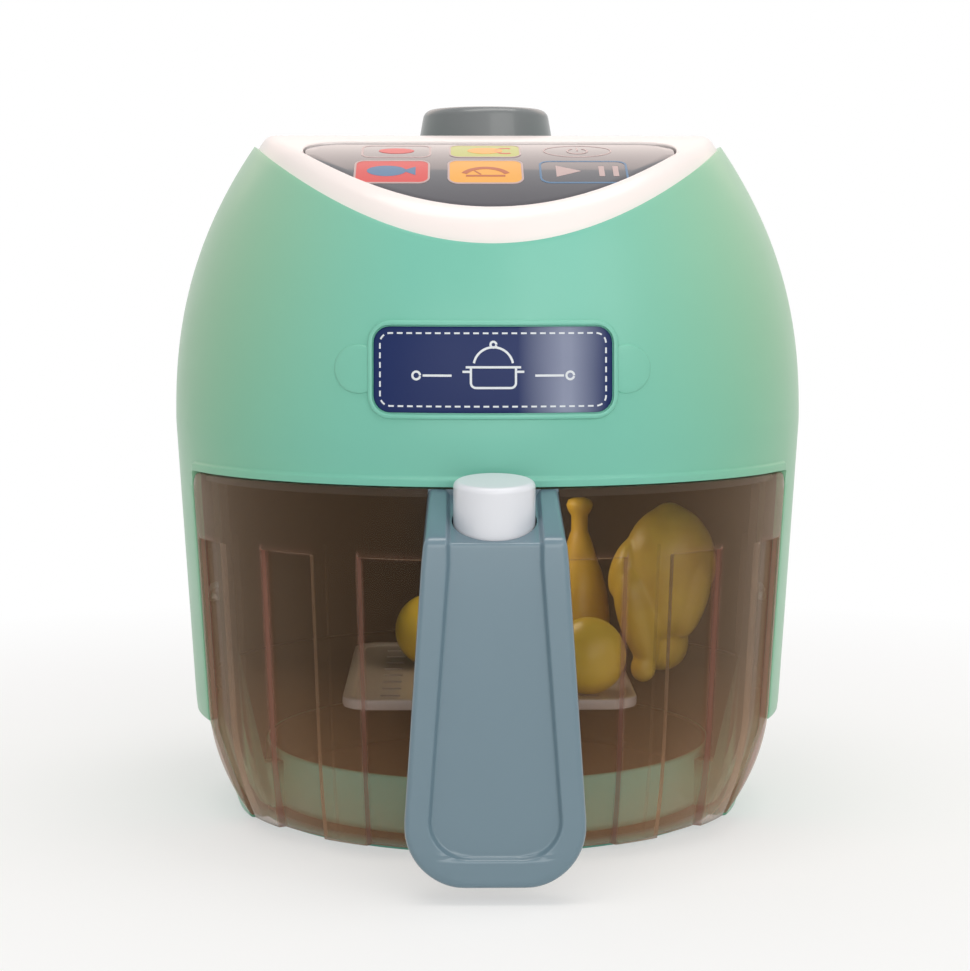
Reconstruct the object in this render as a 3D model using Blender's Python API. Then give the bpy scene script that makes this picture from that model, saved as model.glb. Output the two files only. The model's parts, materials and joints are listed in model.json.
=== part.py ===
"""Toy air fryer: a barrel housing with a sliced top, and a smoked drawer that slides out forward.

Metres, +Z up. The origin is on the barrel's axis, in the plane that the base stands on.
The drawer and its handle face -Y, and +X is on the right as seen from the front.
"""

import math

import bmesh
import bpy
from mathutils import Matrix, Vector

MM = 0.001

# Fits and facets
FIT = 0.3 * MM                  # running or seating gap between two pieces
OVERRUN = 4 * MM                # how far a cutter runs past what it cuts
MERGE = 0.001 * MM
SMOOTH_ANGLE = math.radians(32)
TURN_STEPS = 48                 # facets in a full turn of the barrel
SMALL_STEPS = 20                # facets in a full turn of a small round piece
SCREW_STEPS = 8
BOSS_STEPS = 10
CORNER_STEPS = 3                # facets in a rounded corner
CREST_STEPS = 20                # facets across the sliced top

# Barrel
BELLY_RADIUS = 86.6 * MM
BELLY_Z = 108 * MM
SHOULDER_RISE = 66 * MM
SHOULDER_DRAW_IN = 16.6 * MM
SHOULDER_POWER = 2.33
LOWER_TAPER_SHARE = 0.06
FOOT_CURVE_RISE = 32 * MM
FOOT_DRAW_IN = 10.5 * MM
SHELL_WALL = 2.4 * MM
SHELL_BOTTOM_Z = 28 * MM
SHELL_LEVELS = 11

# Sliced top
CREST_Z = 183 * MM
CREST_DROP = 34.3 * MM          # from the ridge down to the belly's radius
RIM_WIDTH = 1.2 * MM            # green rim left standing round the bezel
SEAT_DEPTH = 2 * MM             # how deep the bezel's seat is below the rim

# Opening for the drawer
OPENING_HALF_ANGLE = math.radians(67.6)
OPENING_TOP_Z = 96.2 * MM
OPENING_CORNER = 4.5 * MM
LIP_HEIGHT = 2.5 * MM
LIP_PROUD = 0.8 * MM

# Bezel, lens and board
BEZEL_PROUD = 3 * MM
BEZEL_EDGE = 1.6 * MM
BEZEL_COLLAR_GAP = 1 * MM       # from the bezel's back edge to the cap's collar
LENS_LENGTH = 43 * MM
LENS_FRONT_BORDER = 8 * MM
LENS_SIDE_BORDER = 5.5 * MM
LENS_CORNER = 8 * MM
LENS_SUNK = 0.5 * MM
LENS_THICKNESS = 1.6 * MM
LENS_LEDGE = 3 * MM             # width of the bezel's shelf under the lens
BOARD_WIDTH = 48 * MM
BOARD_DEPTH = 20 * MM
BOARD_THICKNESS = 1.6 * MM
BOARD_DROP = 5 * MM             # from the lens to the board
BOARD_POST_RADIUS = 2 * MM
BOARD_POST_INSET = 3 * MM

# Badge
BADGE_Z = 124.7 * MM
BADGE_WIDTH = 58.4 * MM
BADGE_HEIGHT = 20.9 * MM
BADGE_CORNER = 4 * MM
BADGE_FRAME = 1.5 * MM
BADGE_FRAME_PROUD = 0.9 * MM
BADGE_PLATE_PROUD = 0.3 * MM
BADGE_DEPTH = 1.2 * MM

# Base pan
BASE_FLOOR = 2.5 * MM
BASE_WALL = 2 * MM
BASE_WAIST_INSET = 2.6 * MM     # from the barrel's surface to the pan's waist
BASE_FOOT_DRAW_IN = 9 * MM      # from the waist to the foot
BASE_FRONT_STEP = 5 * MM        # from the foot back to the edge behind the window
BASE_SPIGOT = 8 * MM            # height of the part that stands inside the shells
BASE_GAP_HALF_ANGLE = math.radians(68.5)

# Chamber ceiling and lamp
CEILING_Z = 98.5 * MM
CEILING_THICKNESS = 2 * MM
LAMP_RADIUS = 9 * MM
LAMP_FLANGE = 2.5 * MM
LAMP_FLANGE_THICKNESS = 1.2 * MM
LAMP_DROP = 3.5 * MM
LAMP_Y = -12 * MM

# Speaker
SPEAKER_RADIUS = 18 * MM
SPEAKER_HEIGHT = 9 * MM
SPEAKER_MAGNET_RADIUS = 9 * MM
SPEAKER_RIM = 2.5 * MM
SPEAKER_INSET = 44.6 * MM       # from the barrel's side to the speaker's axis
SPEAKER_Y = -8 * MM
SOUND_SLOT_LENGTH = 20 * MM
SOUND_SLOT_WIDTH = 2 * MM
SOUND_SLOT_PITCH = 5 * MM
SOUND_SLOT_COUNT = 5

# Mist well and cap
CAP_Y = 31 * MM
CAP_RADIUS = 19.8 * MM
CAP_TOP_RADIUS = 17.8 * MM
CAP_HEIGHT = 12.5 * MM
CAP_EDGE = 3 * MM
CAP_WALL = 1.8 * MM
COLLAR_RADIUS = 20.4 * MM
COLLAR_RISE = 3.56 * MM         # above the sliced top, on the cap's axis
COLLAR_WALL = 3 * MM
WELL_RADIUS = 14 * MM
WELL_WALL = 1.4 * MM
WELL_DEPTH = 28 * MM
WELL_FLANGE = 2.2 * MM
WELL_FLANGE_THICKNESS = 1.5 * MM
WELL_NECK_RISE = 3 * MM

# Battery box and door
CELL_RADIUS = 7.1 * MM
CELL_LENGTH = 49.3 * MM
CELL_NUB_RADIUS = 2.6 * MM
CELL_NUB_HEIGHT = 1.2 * MM
CELL_COUNT = 2
CELL_GAP = 0.5 * MM
BOX_WALL = 1.6 * MM
BOX_BOTTOM_Z = 102 * MM
BOX_RIM = 3.2 * MM              # how far the box reaches past the door opening
BOX_SCREW_LAND = 10.5 * MM      # height of the solid land above the cells, for the screw
DOOR_THICKNESS = 2 * MM
DOOR_CORNER = 3 * MM

# Vents in the rear, beside the battery box
VENT_LENGTH = 20 * MM
VENT_HEIGHT = 3 * MM
VENT_PITCH = 7 * MM
VENT_COUNT = 4
VENT_BOTTOM_Z = 106 * MM
VENT_DOOR_GAP = 9 * MM          # from the battery door's side to the vents

# Shell screws and their bosses
BOSS_RADIUS = 4.2 * MM
BOSS_FRONT_LENGTH = 16 * MM
BOSS_LOW_Z = 58 * MM
BOSS_HIGH_Z = 128 * MM
BOSS_FLOOR = 6 * MM             # land under the screw's head, behind the seam
SCREW_RADIUS = 1.3 * MM
SCREW_HEAD_RADIUS = 2.7 * MM
SCREW_HEAD_HEIGHT = 2 * MM
SCREW_GRIP = 10 * MM            # length of the screw past its seat
SCREW_DRIVE = 0.9 * MM

# Smoked window
WINDOW_HALF_ANGLE = math.radians(67)
WINDOW_TOP_GAP = 0.5 * MM
WINDOW_BOTTOM_Z = 1.5 * MM
WINDOW_WALL = 2.5 * MM
FLUTE_DEPTH = 2 * MM
FLUTE_TOP_Z = 77.8 * MM
FLUTE_STEP = 0.5 * MM           # width of a flute's side wall, along the barrel
FLUTE_EDGES = [(math.radians(12.1), math.radians(23.3)),
               (math.radians(32.7), math.radians(44.0)),
               (math.radians(56.5), math.radians(65.8))]

# Tray and the frame behind the window
TRAY_SIDE_GAP = 0.6 * MM        # on each side, where the tray passes the base's front edges
TRAY_WALL = 2 * MM
TRAY_RIM_Z = 18.3 * MM
FRAME_DEPTH = 2.4 * MM
FRAME_ANGLE = math.radians(4)
FRAME_BAR = 2.4 * MM
FRAME_CLEARANCE = 0.5 * MM      # wider than a fit, because facets of both pieces sag

# Rack
RACK_SIDE_INSET = 23.3 * MM     # from the tray's outer radius, as are the next two
RACK_FRONT_INSET = 18.3 * MM
RACK_BACK_INSET = 11.3 * MM
RACK_TOP_Z = 36 * MM
RACK_THICKNESS = 3 * MM
RACK_RIM = 3 * MM
RACK_RIM_DEPTH = 1 * MM
RACK_CORNER = 8 * MM
RACK_SLOT_LENGTH = 5.5 * MM
RACK_SLOT_WIDTH = 2.4 * MM
RACK_SLOT_ROWS = 8
RACK_SLOT_COLUMNS = 5
RACK_LEG_RADIUS = 3 * MM
RACK_LEG_INSET = 9 * MM         # from the rack's ends
RACK_LEG_X = 13.5 * MM          # behind the handle

# Handle
HANDLE_TOP_Z = 95.4 * MM
NECK_HALF_WIDTH = 15.9 * MM
GRIP_TOP_HALF_WIDTH = 17.35 * MM
GRIP_BOTTOM_HALF_WIDTH = 21.4 * MM
GRIP_WIDEST_Z = 20 * MM
GRIP_CORNER = 14.5 * MM
HANDLE_BOTTOM_Z = 4 * MM
HANDLE_REACH = 23.4 * MM        # from the belly's radius to the grip's upper edge
HANDLE_FRONT_TOP_Z = 80 * MM
HANDLE_LEAN = 4 * MM            # how far the grip's lower end stands further out
HANDLE_BROW = 6 * MM            # radius where the sloped top turns down
GRIP_THICKNESS = 10 * MM
GRIP_BACK_PLATE = 2.2 * MM
NECK_BOTTOM_Z = 64 * MM
NECK_FILLET = 5 * MM
HANDLE_EDGE = 1.2 * MM
TONGUE_DEPTH = 1.5 * MM
TONGUE_TOP_HALF_WIDTH = 11 * MM
TONGUE_BORDER = 6 * MM
TONGUE_BOTTOM_BORDER = 7 * MM
TONGUE_CORNER = 9 * MM
HANDLE_SCREW_X = 8 * MM
HANDLE_SCREW_Z = 69.3 * MM
HANDLE_SCREW_REACH = 8 * MM

# Release button
BUTTON_TILT = math.radians(7)
BUTTON_RADIUS = 9.8 * MM
BUTTON_REACH = 11.8 * MM        # from the belly's radius to the button's middle
BUTTON_TOP_Z = 99 * MM
BUTTON_HEIGHT = 16 * MM
BUTTON_EDGE = 1.4 * MM
BUTTON_BORE_RADIUS = 6.6 * MM
BUTTON_CROWN = 4 * MM
BUTTON_TRAVEL = 3 * MM
POCKET_DEPTH = 22.5 * MM
SPRING_RADIUS = 5 * MM
SPRING_WIRE = 0.5 * MM
SPRING_TURNS = 5
SPRING_POINTS = 8               # points in each turn

# Play food: its places and sizes are shares of the rack's half-width
POTATO_RADIUS_SHARE = 0.264
POTATO_PLACE_SHARES = [(0.678, -0.829), (-0.415, 0.326)]
DRUMSTICK_PLACE_SHARES = (0.66, 0.06)
DRUMSTICK_HEIGHT_SHARE = 1.26
DRUMSTICK_RADIUS_SHARE = 0.226
BONE_RADIUS_SHARE = 0.065
CHICKEN_PLACE_SHARES = (1.25, -0.302)
CHICKEN_HEIGHT_SHARE = 1.27
CHICKEN_WIDTH_SHARE = 0.78
CHICKEN_DEPTH_SHARE = 0.652

# Values worked out from the ones above
WINDOW_TOP_Z = OPENING_TOP_Z - WINDOW_TOP_GAP
CREST_RADIUS = (BELLY_RADIUS ** 2 + CREST_DROP ** 2) / (2 * CREST_DROP)
BEZEL_BACK_Y = CAP_Y - COLLAR_RADIUS - BEZEL_COLLAR_GAP
HANDLE_FRONT_TOP_Y = -BELLY_RADIUS - HANDLE_REACH
HANDLE_FRONT_BOTTOM_Y = HANDLE_FRONT_TOP_Y - HANDLE_LEAN
SPEAKER_X = SPEAKER_INSET - BELLY_RADIUS
CELL_PITCH = 2 * CELL_RADIUS + CELL_GAP
BOX_INNER_HALF_WIDTH = CELL_LENGTH / 2 + CELL_NUB_HEIGHT + CELL_GAP
CELLS_BOTTOM_Z = BOX_BOTTOM_Z + BOX_RIM + BOX_WALL
CELLS_TOP_Z = CELLS_BOTTOM_Z + CELL_COUNT * CELL_PITCH + CELL_GAP
BOX_TOP_Z = CELLS_TOP_Z + BOX_SCREW_LAND
DOOR_HALF_WIDTH = BOX_INNER_HALF_WIDTH + BOX_WALL
DOOR_BOTTOM_Z = BOX_BOTTOM_Z + BOX_RIM
DOOR_TOP_Z = BOX_TOP_Z - BOX_RIM
DOOR_SCREW_Z = (CELLS_TOP_Z + DOOR_TOP_Z) / 2
TRAY_FLOOR_Z = BASE_FLOOR + FIT
RACK_BOTTOM_Z = RACK_TOP_Z - RACK_THICKNESS
FOOD_Z = RACK_TOP_Z - RACK_RIM_DEPTH + FIT
BUTTON_AXIS = Vector((0, -math.sin(BUTTON_TILT), math.cos(BUTTON_TILT)))
BUTTON_TOP = Vector((0, -BELLY_RADIUS - BUTTON_REACH, BUTTON_TOP_Z))


# Shapes of the barrel

def barrel_radius(z):
    """Outer radius of the barrel at a height: a power curve above the belly, a taper below it."""
    if z >= BELLY_Z:
        return BELLY_RADIUS - SHOULDER_DRAW_IN * ((z - BELLY_Z) / SHOULDER_RISE) ** SHOULDER_POWER
    radius = BELLY_RADIUS - LOWER_TAPER_SHARE * (BELLY_Z - z)
    if z < FOOT_CURVE_RISE:
        radius -= FOOT_DRAW_IN * ((FOOT_CURVE_RISE - z) / FOOT_CURVE_RISE) ** 2
    return radius


def crest_height(y, raised=0.0):
    """Height of the sliced top at a depth, or of the surface raised from it."""
    radius = CREST_RADIUS + raised
    return CREST_Z - CREST_RADIUS + math.sqrt(radius ** 2 - y ** 2)


# Sizes that follow the barrel's shape
COLLAR_TOP_Z = crest_height(CAP_Y) + COLLAR_RISE
CAP_TOP_Z = COLLAR_TOP_Z + FIT + CAP_HEIGHT
BASE_WAIST_RADIUS = barrel_radius(SHELL_BOTTOM_Z) - BASE_WAIST_INSET
BASE_FOOT_RADIUS = BASE_WAIST_RADIUS - BASE_FOOT_DRAW_IN
BASE_FRONT_RADIUS = BASE_FOOT_RADIUS - BASE_FRONT_STEP
TRAY_RADIUS = (BASE_FOOT_RADIUS - BASE_WALL) * math.sin(BASE_GAP_HALF_ANGLE) - TRAY_SIDE_GAP
RACK_HALF_WIDTH = TRAY_RADIUS - RACK_SIDE_INSET
RACK_FRONT_Y = RACK_FRONT_INSET - TRAY_RADIUS
RACK_BACK_Y = TRAY_RADIUS - RACK_BACK_INSET


def polar(azimuth, radius, z):
    """A point at an azimuth measured from the front, positive towards +X."""
    return Vector((radius * math.sin(azimuth), -radius * math.cos(azimuth), z))


def spread(low, high, count):
    """Evenly spaced values, both ends included."""
    return [low + (high - low) * i / (count - 1) for i in range(count)]


def rounded(points, radii):
    """The outline with some corners replaced by arcs; radii maps a corner's index to its radius."""
    outline = []
    count = len(points)
    for index, (x, y) in enumerate(points):
        radius = radii.get(index, 0)
        corner = Vector((x, y))
        if not radius:
            outline.append((x, y))
            continue
        before = (Vector(points[index - 1]) - corner).normalized()
        after = (Vector(points[(index + 1) % count]) - corner).normalized()
        half = before.angle(after) / 2
        reach = radius / math.tan(half)
        centre = corner + (before + after).normalized() * radius / math.sin(half)
        start = corner + before * reach - centre
        turn = start.angle_signed(corner + after * reach - centre)
        for step in range(CORNER_STEPS + 1):
            spoke = start.copy()
            spoke.rotate(Matrix.Rotation(-turn * step / CORNER_STEPS, 2))
            outline.append(tuple(centre + spoke))
    return outline


def rectangle(half_width, low, high, corner):
    """A rectangle with round corners, centred on x = 0."""
    points = [(-half_width, low), (half_width, low), (half_width, high), (-half_width, high)]
    return rounded(points, {index: corner for index in range(4)} if corner else {})


def inner_path(points, distance):
    """The open path moved to its right by a distance, with mitred corners."""
    moved = []
    for index, point in enumerate(points):
        here = Vector(point)
        ahead = (Vector(points[index + 1]) - here).normalized() if index + 1 < len(points) else None
        behind = (here - Vector(points[index - 1])).normalized() if index else None
        ahead = ahead or behind
        behind = behind or ahead
        normal = Vector((ahead.y + behind.y, -ahead.x - behind.x)).normalized()
        lean = normal.dot(Vector((ahead.y, -ahead.x)))
        moved.append(tuple(here + normal * distance / lean))
    return moved


# Mesh builders

def loft(sections, ring=False):
    """Skin a run of equal sections; its ends are capped unless the run is a ring."""
    bm = bmesh.new()
    rows = [[bm.verts.new(point) for point in section] for section in sections]
    pairs = list(zip(rows, rows[1:]))
    if ring:
        pairs.append((rows[-1], rows[0]))
    for first, second in pairs:
        for index in range(len(first)):
            after = (index + 1) % len(first)
            bm.faces.new((first[index], first[after], second[after], second[index]))
    if not ring:
        bm.faces.new(rows[0])
        bm.faces.new(rows[-1])
    return bm


def turned(profile, steps=SMALL_STEPS, centre=(0, 0, 0), axis=(0, 0, 1)):
    """Turn a closed profile of (radius, height) points once round an axis through centre."""
    bm = bmesh.new()
    verts = [bm.verts.new((radius, 0, height)) for radius, height in profile]
    edges = [bm.edges.new((verts[index - 1], verts[index])) for index in range(len(verts))
             if profile[index - 1][0] > MERGE or profile[index][0] > MERGE]
    bmesh.ops.spin(bm, geom=edges, cent=(0, 0, 0), axis=(0, 0, 1), angle=math.tau, steps=steps,
                   use_merge=True)
    bmesh.ops.remove_doubles(bm, verts=bm.verts, dist=MERGE)
    loose = [vert for vert in bm.verts if not vert.link_faces]
    bmesh.ops.delete(bm, geom=loose, context="VERTS")
    turn = Vector((0, 0, 1)).rotation_difference(Vector(axis)).to_matrix().to_4x4()
    bmesh.ops.transform(bm, matrix=Matrix.Translation(centre) @ turn, verts=bm.verts)
    return bm


def prism(outline, axis, low, high):
    """Extrude an outline along X (outline in y, z), Y (outline in x, z) or Z (outline in x, y)."""
    def place(a, b, c):
        return {"X": (c, a, b), "Y": (a, c, b), "Z": (a, b, c)}[axis]
    return loft([[place(a, b, level) for a, b in outline] for level in (low, high)])


def merged(parts):
    """Several meshes in one, for a cutter of many pieces."""
    whole = bmesh.new()
    for part in parts:
        scrap = bpy.data.meshes.new("scrap")
        part.to_mesh(scrap)
        part.free()
        whole.from_mesh(scrap)
        bpy.data.meshes.remove(scrap)
    return whole


def finish(name, colour, roughness, metallic=0.0, alpha=1.0):
    """A plain material in linear colour."""
    surface = bpy.data.materials.new(name)
    surface.use_nodes = True
    shader = surface.node_tree.nodes["Principled BSDF"]
    shader.inputs["Base Color"].default_value = (*colour, 1)
    shader.inputs["Roughness"].default_value = roughness
    shader.inputs["Metallic"].default_value = metallic
    shader.inputs["Alpha"].default_value = alpha
    return surface


def add(name, bm, surface=None):
    """Put a mesh in the scene: a piece with its finish, or a hidden cutter without one."""
    bmesh.ops.recalc_face_normals(bm, faces=bm.faces)
    mesh = bpy.data.meshes.new(name)
    bm.to_mesh(mesh)
    bm.free()
    item = bpy.data.objects.new(name, mesh)
    bpy.context.scene.collection.objects.link(item)
    if surface:
        mesh.materials.append(surface)
        mesh.shade_smooth()
        mesh.set_sharp_from_angle(angle=SMOOTH_ANGLE)
    else:
        item.hide_render = True
        item.display_type = "WIRE"
    return item


def combine(item, operation, name, bm):
    """Add a boolean with a new hidden tool, and return the tool."""
    tool = add(f"{item.name}_{name}", bm)
    step = item.modifiers.new(name, "BOOLEAN")
    step.operation = operation
    step.solver = "EXACT"
    step.object = tool
    return tool


def cut(item, name, bm):
    return combine(item, "DIFFERENCE", name, bm)


def fuse(item, name, bm):
    return combine(item, "UNION", name, bm)


def keep(item, name, bm):
    return combine(item, "INTERSECT", name, bm)


def soften(item, width, segments=2):
    """Round the sharp edges that the piece has so far."""
    step = item.modifiers.new("edges", "BEVEL")
    step.width = width
    step.segments = segments
    step.limit_method = "ANGLE"
    step.angle_limit = SMOOTH_ANGLE
    step.harden_normals = False


def carrier(name, place):
    """An empty on a joint's axis, which carries the pieces that move together."""
    empty = bpy.data.objects.new(name, None)
    empty.location = place
    bpy.context.scene.collection.objects.link(empty)
    return empty


def carry(empty, items):
    """Hang pieces and their cutters on an empty, without moving them."""
    for item in items:
        for member in [item] + [step.object for step in item.modifiers if step.type == "BOOLEAN"]:
            member.parent = empty
            member.location = member.location - empty.location


# Solids that several pieces are cut with

def barrel_core(inset, low=0.0, high=None):
    """The barrel as a solid, smaller by an inset, between two heights."""
    high = high or CREST_Z + BEZEL_PROUD + OVERRUN
    wall = [(barrel_radius(z) - inset, z) for z in spread(low, high, SHELL_LEVELS)]
    return turned([(0, low)] + wall + [(0, high)], TURN_STEPS)


def barrel_layer(half_angle, low, high, inner, outer, middle=0.0, steps=11):
    """A curved plate between two insets of the barrel, centred on an azimuth."""
    heights = spread(low, high, SHELL_LEVELS // 2)
    sections = []
    for azimuth in spread(middle - half_angle, middle + half_angle, steps):
        outside = [polar(azimuth, barrel_radius(z) - outer, z) for z in heights]
        inside = [polar(azimuth, barrel_radius(z) - inner, z) for z in heights]
        sections.append(outside + inside[::-1])
    return loft(sections)


def crest_slab(low, high, back=BELLY_RADIUS, front=-BELLY_RADIUS):
    """The space between two surfaces raised from the sliced top; high None reaches above it all."""
    depths = spread(front, back, CREST_STEPS)
    under = [(y, crest_height(y, low)) for y in depths]
    ceiling = CREST_Z + BEZEL_PROUD + 2 * OVERRUN
    over = [(y, crest_height(y, high) if high is not None else ceiling) for y in depths]
    if high is None:
        over = [over[0], over[-1]]
    reach = BELLY_RADIUS + OVERRUN
    return prism(under + over[::-1], "X", -reach, reach)


def rim_radius(azimuth):
    """Plan radius of the sliced top's rim at an azimuth, found by repeated substitution."""
    radius = BELLY_RADIUS
    for _ in range(40):
        radius = (radius + barrel_radius(crest_height(radius * math.cos(azimuth)))) / 2
    return radius


def boss_places():
    """Axes of the shell screws: beside the side walls, low and high."""
    for side_name, side in (("left", -1), ("right", 1)):
        for level_name, z in (("low", BOSS_LOW_Z), ("high", BOSS_HIGH_Z)):
            x = side * (barrel_radius(z) - SHELL_WALL - BOSS_RADIUS)
            yield f"{side_name}_{level_name}", x, z


# Housing

def half_shell(name, middle, surface):
    """One half of the barrel's shell, cut by the sliced top and by the bezel's seat."""
    heights = spread(SHELL_BOTTOM_Z, CREST_Z + OVERRUN, SHELL_LEVELS)
    half = math.pi / 2 - FIT / 2 / BELLY_RADIUS
    sections = []
    for azimuth in spread(middle - half, middle + half, TURN_STEPS // 2 + 1):
        outside = [polar(azimuth, barrel_radius(z), z) for z in heights]
        inside = [polar(azimuth, barrel_radius(z) - SHELL_WALL, z) for z in heights]
        sections.append(outside + inside[::-1])
    return add(name, loft(sections), surface)


def slice_top(shell):
    """Cut a shell by the sliced top, then sink the bezel's seat inside its rim."""
    cut(shell, "slice", crest_slab(0, None))
    seat = cut(shell, "seat", crest_slab(-SEAT_DEPTH, None))
    keep(seat, "inside_rim", barrel_core(RIM_WIDTH, low=CREST_Z - SHOULDER_RISE))


def rod(radius, low, high, centre, axis, steps=SCREW_STEPS):
    """A plain round bar along an axis, between two distances from centre."""
    return turned([(0, low), (radius, low), (radius, high), (0, high)], steps, centre, axis)


def front_shell(surface):
    shell = half_shell("front_shell", 0.0, surface)
    lip_low = OPENING_TOP_Z
    lip_high = OPENING_TOP_Z + LIP_HEIGHT
    band = [(SHELL_WALL / 2, lip_low - OVERRUN), (-LIP_PROUD, lip_low - OVERRUN),
            (-LIP_PROUD, lip_high - LIP_PROUD), (0, lip_high), (SHELL_WALL / 2, lip_high)]
    sections = []
    for azimuth in spread(-OPENING_HALF_ANGLE, OPENING_HALF_ANGLE, TURN_STEPS // 2):
        sections.append([polar(azimuth, barrel_radius(z) - inset, z) for inset, z in band])
    fuse(shell, "lip", loft(sections))
    cut(shell, "opening", opening_solid())
    slice_top(shell)
    badge_frame(shell)
    bosses = []
    pilots = []
    for _, x, z in boss_places():
        bosses.append(rod(BOSS_RADIUS, -BOSS_FRONT_LENGTH, -FIT, (x, 0, z), (0, 1, 0), BOSS_STEPS))
        pilots.append(rod(SCREW_RADIUS + FIT, -SCREW_GRIP, OVERRUN, (x, 0, z), (0, 1, 0)))
    fuse(shell, "bosses", merged(bosses))
    cut(shell, "pilots", merged(pilots))
    return shell


def corner_ends(half_angle):
    """Azimuths through the round upper corner of the opening, from its end inwards, on the +X side."""
    corner = OPENING_CORNER / BELLY_RADIUS
    turns = spread(0.0, math.pi / 2, CORNER_STEPS + 1)
    return [half_angle - corner * (1 - math.cos(turn)) for turn in turns]


def corner_drop(azimuth, half_angle):
    """How far the round upper corner lies below the straight top edge at an azimuth."""
    inside = OPENING_CORNER - (half_angle - abs(azimuth)) * BELLY_RADIUS
    if inside <= 0:
        return 0.0
    return OPENING_CORNER - math.sqrt(max(OPENING_CORNER ** 2 - inside ** 2, 0.0))


def opening_solid():
    """The drawer's opening as a wedge, with its upper corners rounded."""
    inside = BASE_WAIST_RADIUS / 2
    outside = BELLY_RADIUS + LIP_PROUD + OVERRUN
    ends = corner_ends(OPENING_HALF_ANGLE)
    azimuths = [-azimuth for azimuth in ends]
    azimuths += spread(-ends[-1], ends[-1], TURN_STEPS // 2)[1:-1] + ends[::-1]
    sections = []
    for azimuth in azimuths:
        top = OPENING_TOP_Z - corner_drop(azimuth, OPENING_HALF_ANGLE)
        bottom = SHELL_BOTTOM_Z - OVERRUN
        sections.append([polar(azimuth, inside, bottom), polar(azimuth, outside, bottom),
                         polar(azimuth, outside, top), polar(azimuth, inside, top)])
    return loft(sections)


def badge_outline(grow):
    half_height = BADGE_HEIGHT / 2 + grow
    return rectangle(BADGE_WIDTH / 2 + grow, BADGE_Z - half_height, BADGE_Z + half_height,
                     BADGE_CORNER + grow)


def badge_solid(grow, inner, outer):
    """A plate of the badge's outline that follows the barrel between two insets."""
    half_height = BADGE_HEIGHT / 2 + grow + OVERRUN
    half_angle = math.asin((BADGE_WIDTH / 2 + grow + OVERRUN) / BELLY_RADIUS)
    return barrel_layer(half_angle, BADGE_Z - half_height, BADGE_Z + half_height, inner, outer)


def badge_frame(shell):
    """Raise the frame round the badge, and sink the pocket for its plate."""
    near = -BELLY_RADIUS - OVERRUN
    far = -BELLY_RADIUS / 2
    frame = fuse(shell, "badge_frame", badge_solid(BADGE_FRAME, SHELL_WALL / 2, -BADGE_FRAME_PROUD))
    keep(frame, "outline", prism(badge_outline(BADGE_FRAME), "Y", near, far))
    pocket = cut(shell, "badge_pocket", badge_solid(BADGE_FRAME, BADGE_DEPTH, -OVERRUN))
    keep(pocket, "outline", prism(badge_outline(FIT), "Y", near, far))


def badge_plate(surface):
    plate = add("badge_plate", badge_solid(0.0, BADGE_DEPTH - FIT, -BADGE_PLATE_PROUD), surface)
    keep(plate, "outline", prism(badge_outline(0.0), "Y", -BELLY_RADIUS - OVERRUN, -BELLY_RADIUS / 2))
    return plate


def door_outline(grow):
    return rectangle(DOOR_HALF_WIDTH + grow, DOOR_BOTTOM_Z - grow, DOOR_TOP_Z + grow, DOOR_CORNER)


def door_layer(inner, outer):
    half_angle = math.asin((DOOR_HALF_WIDTH + OVERRUN) / barrel_radius(BOX_TOP_Z))
    return barrel_layer(half_angle, DOOR_BOTTOM_Z - OVERRUN, DOOR_TOP_Z + OVERRUN, inner, outer, math.pi)


def rear_shell(surface):
    shell = half_shell("rear_shell", math.pi, surface)
    slice_top(shell)
    doorway = cut(shell, "doorway", door_layer(SHELL_WALL + OVERRUN, -OVERRUN))
    keep(doorway, "outline", prism(door_outline(FIT), "Y", BELLY_RADIUS / 2, BELLY_RADIUS + OVERRUN))
    slots = []
    for index in range(VENT_COUNT):
        low = VENT_BOTTOM_Z + index * VENT_PITCH
        for side in (-1, 1):
            near = side * (DOOR_HALF_WIDTH + VENT_DOOR_GAP)
            far = near + side * VENT_LENGTH
            outline = [(near, low), (far, low), (far, low + VENT_HEIGHT), (near, low + VENT_HEIGHT)]
            slots.append(prism(outline, "Y", BELLY_RADIUS / 2, BELLY_RADIUS + OVERRUN))
    cut(shell, "vents", merged(slots))
    bosses = []
    wells = []
    for _, x, z in boss_places():
        back = math.sqrt(barrel_radius(z) ** 2 - (abs(x) - BOSS_RADIUS) ** 2)
        bosses.append(rod(BOSS_RADIUS, FIT, back, (x, 0, z), (0, 1, 0), BOSS_STEPS))
        shank, head = SCREW_RADIUS + FIT, SCREW_HEAD_RADIUS + FIT
        well = [(0, -OVERRUN), (shank, -OVERRUN), (shank, BOSS_FLOOR), (head, BOSS_FLOOR),
                (head, BELLY_RADIUS), (0, BELLY_RADIUS)]
        wells.append(turned(well, BOSS_STEPS, (x, 0, z), (0, 1, 0)))
    posts = fuse(shell, "bosses", merged(bosses))
    inside = barrel_core(SHELL_WALL / 2, low=BOSS_LOW_Z / 2, high=BELLY_Z + SHOULDER_RISE)
    keep(posts, "inside_barrel", inside)
    cut(shell, "wells", merged(wells))
    return shell


def rear_deck(surface):
    """The cover of the slice behind the bezel, with the collar that the cap stands on."""
    deck = add("rear_deck", crest_slab(-SEAT_DEPTH + FIT, 0.0, front=BEZEL_BACK_Y + FIT), surface)
    keep(deck, "inside_rim", barrel_core(RIM_WIDTH + FIT, low=CREST_Z - SHOULDER_RISE))
    collar_low = crest_height(CAP_Y) - COLLAR_WALL
    fuse(deck, "collar", rod(COLLAR_RADIUS, collar_low, COLLAR_TOP_Z, (0, CAP_Y, 0), (0, 0, 1), SMALL_STEPS))
    cut(deck, "well_hole", rod(WELL_RADIUS + FIT, collar_low - 2 * OVERRUN, CAP_TOP_Z, (0, CAP_Y, 0),
                               (0, 0, 1), SMALL_STEPS))
    return deck


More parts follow.
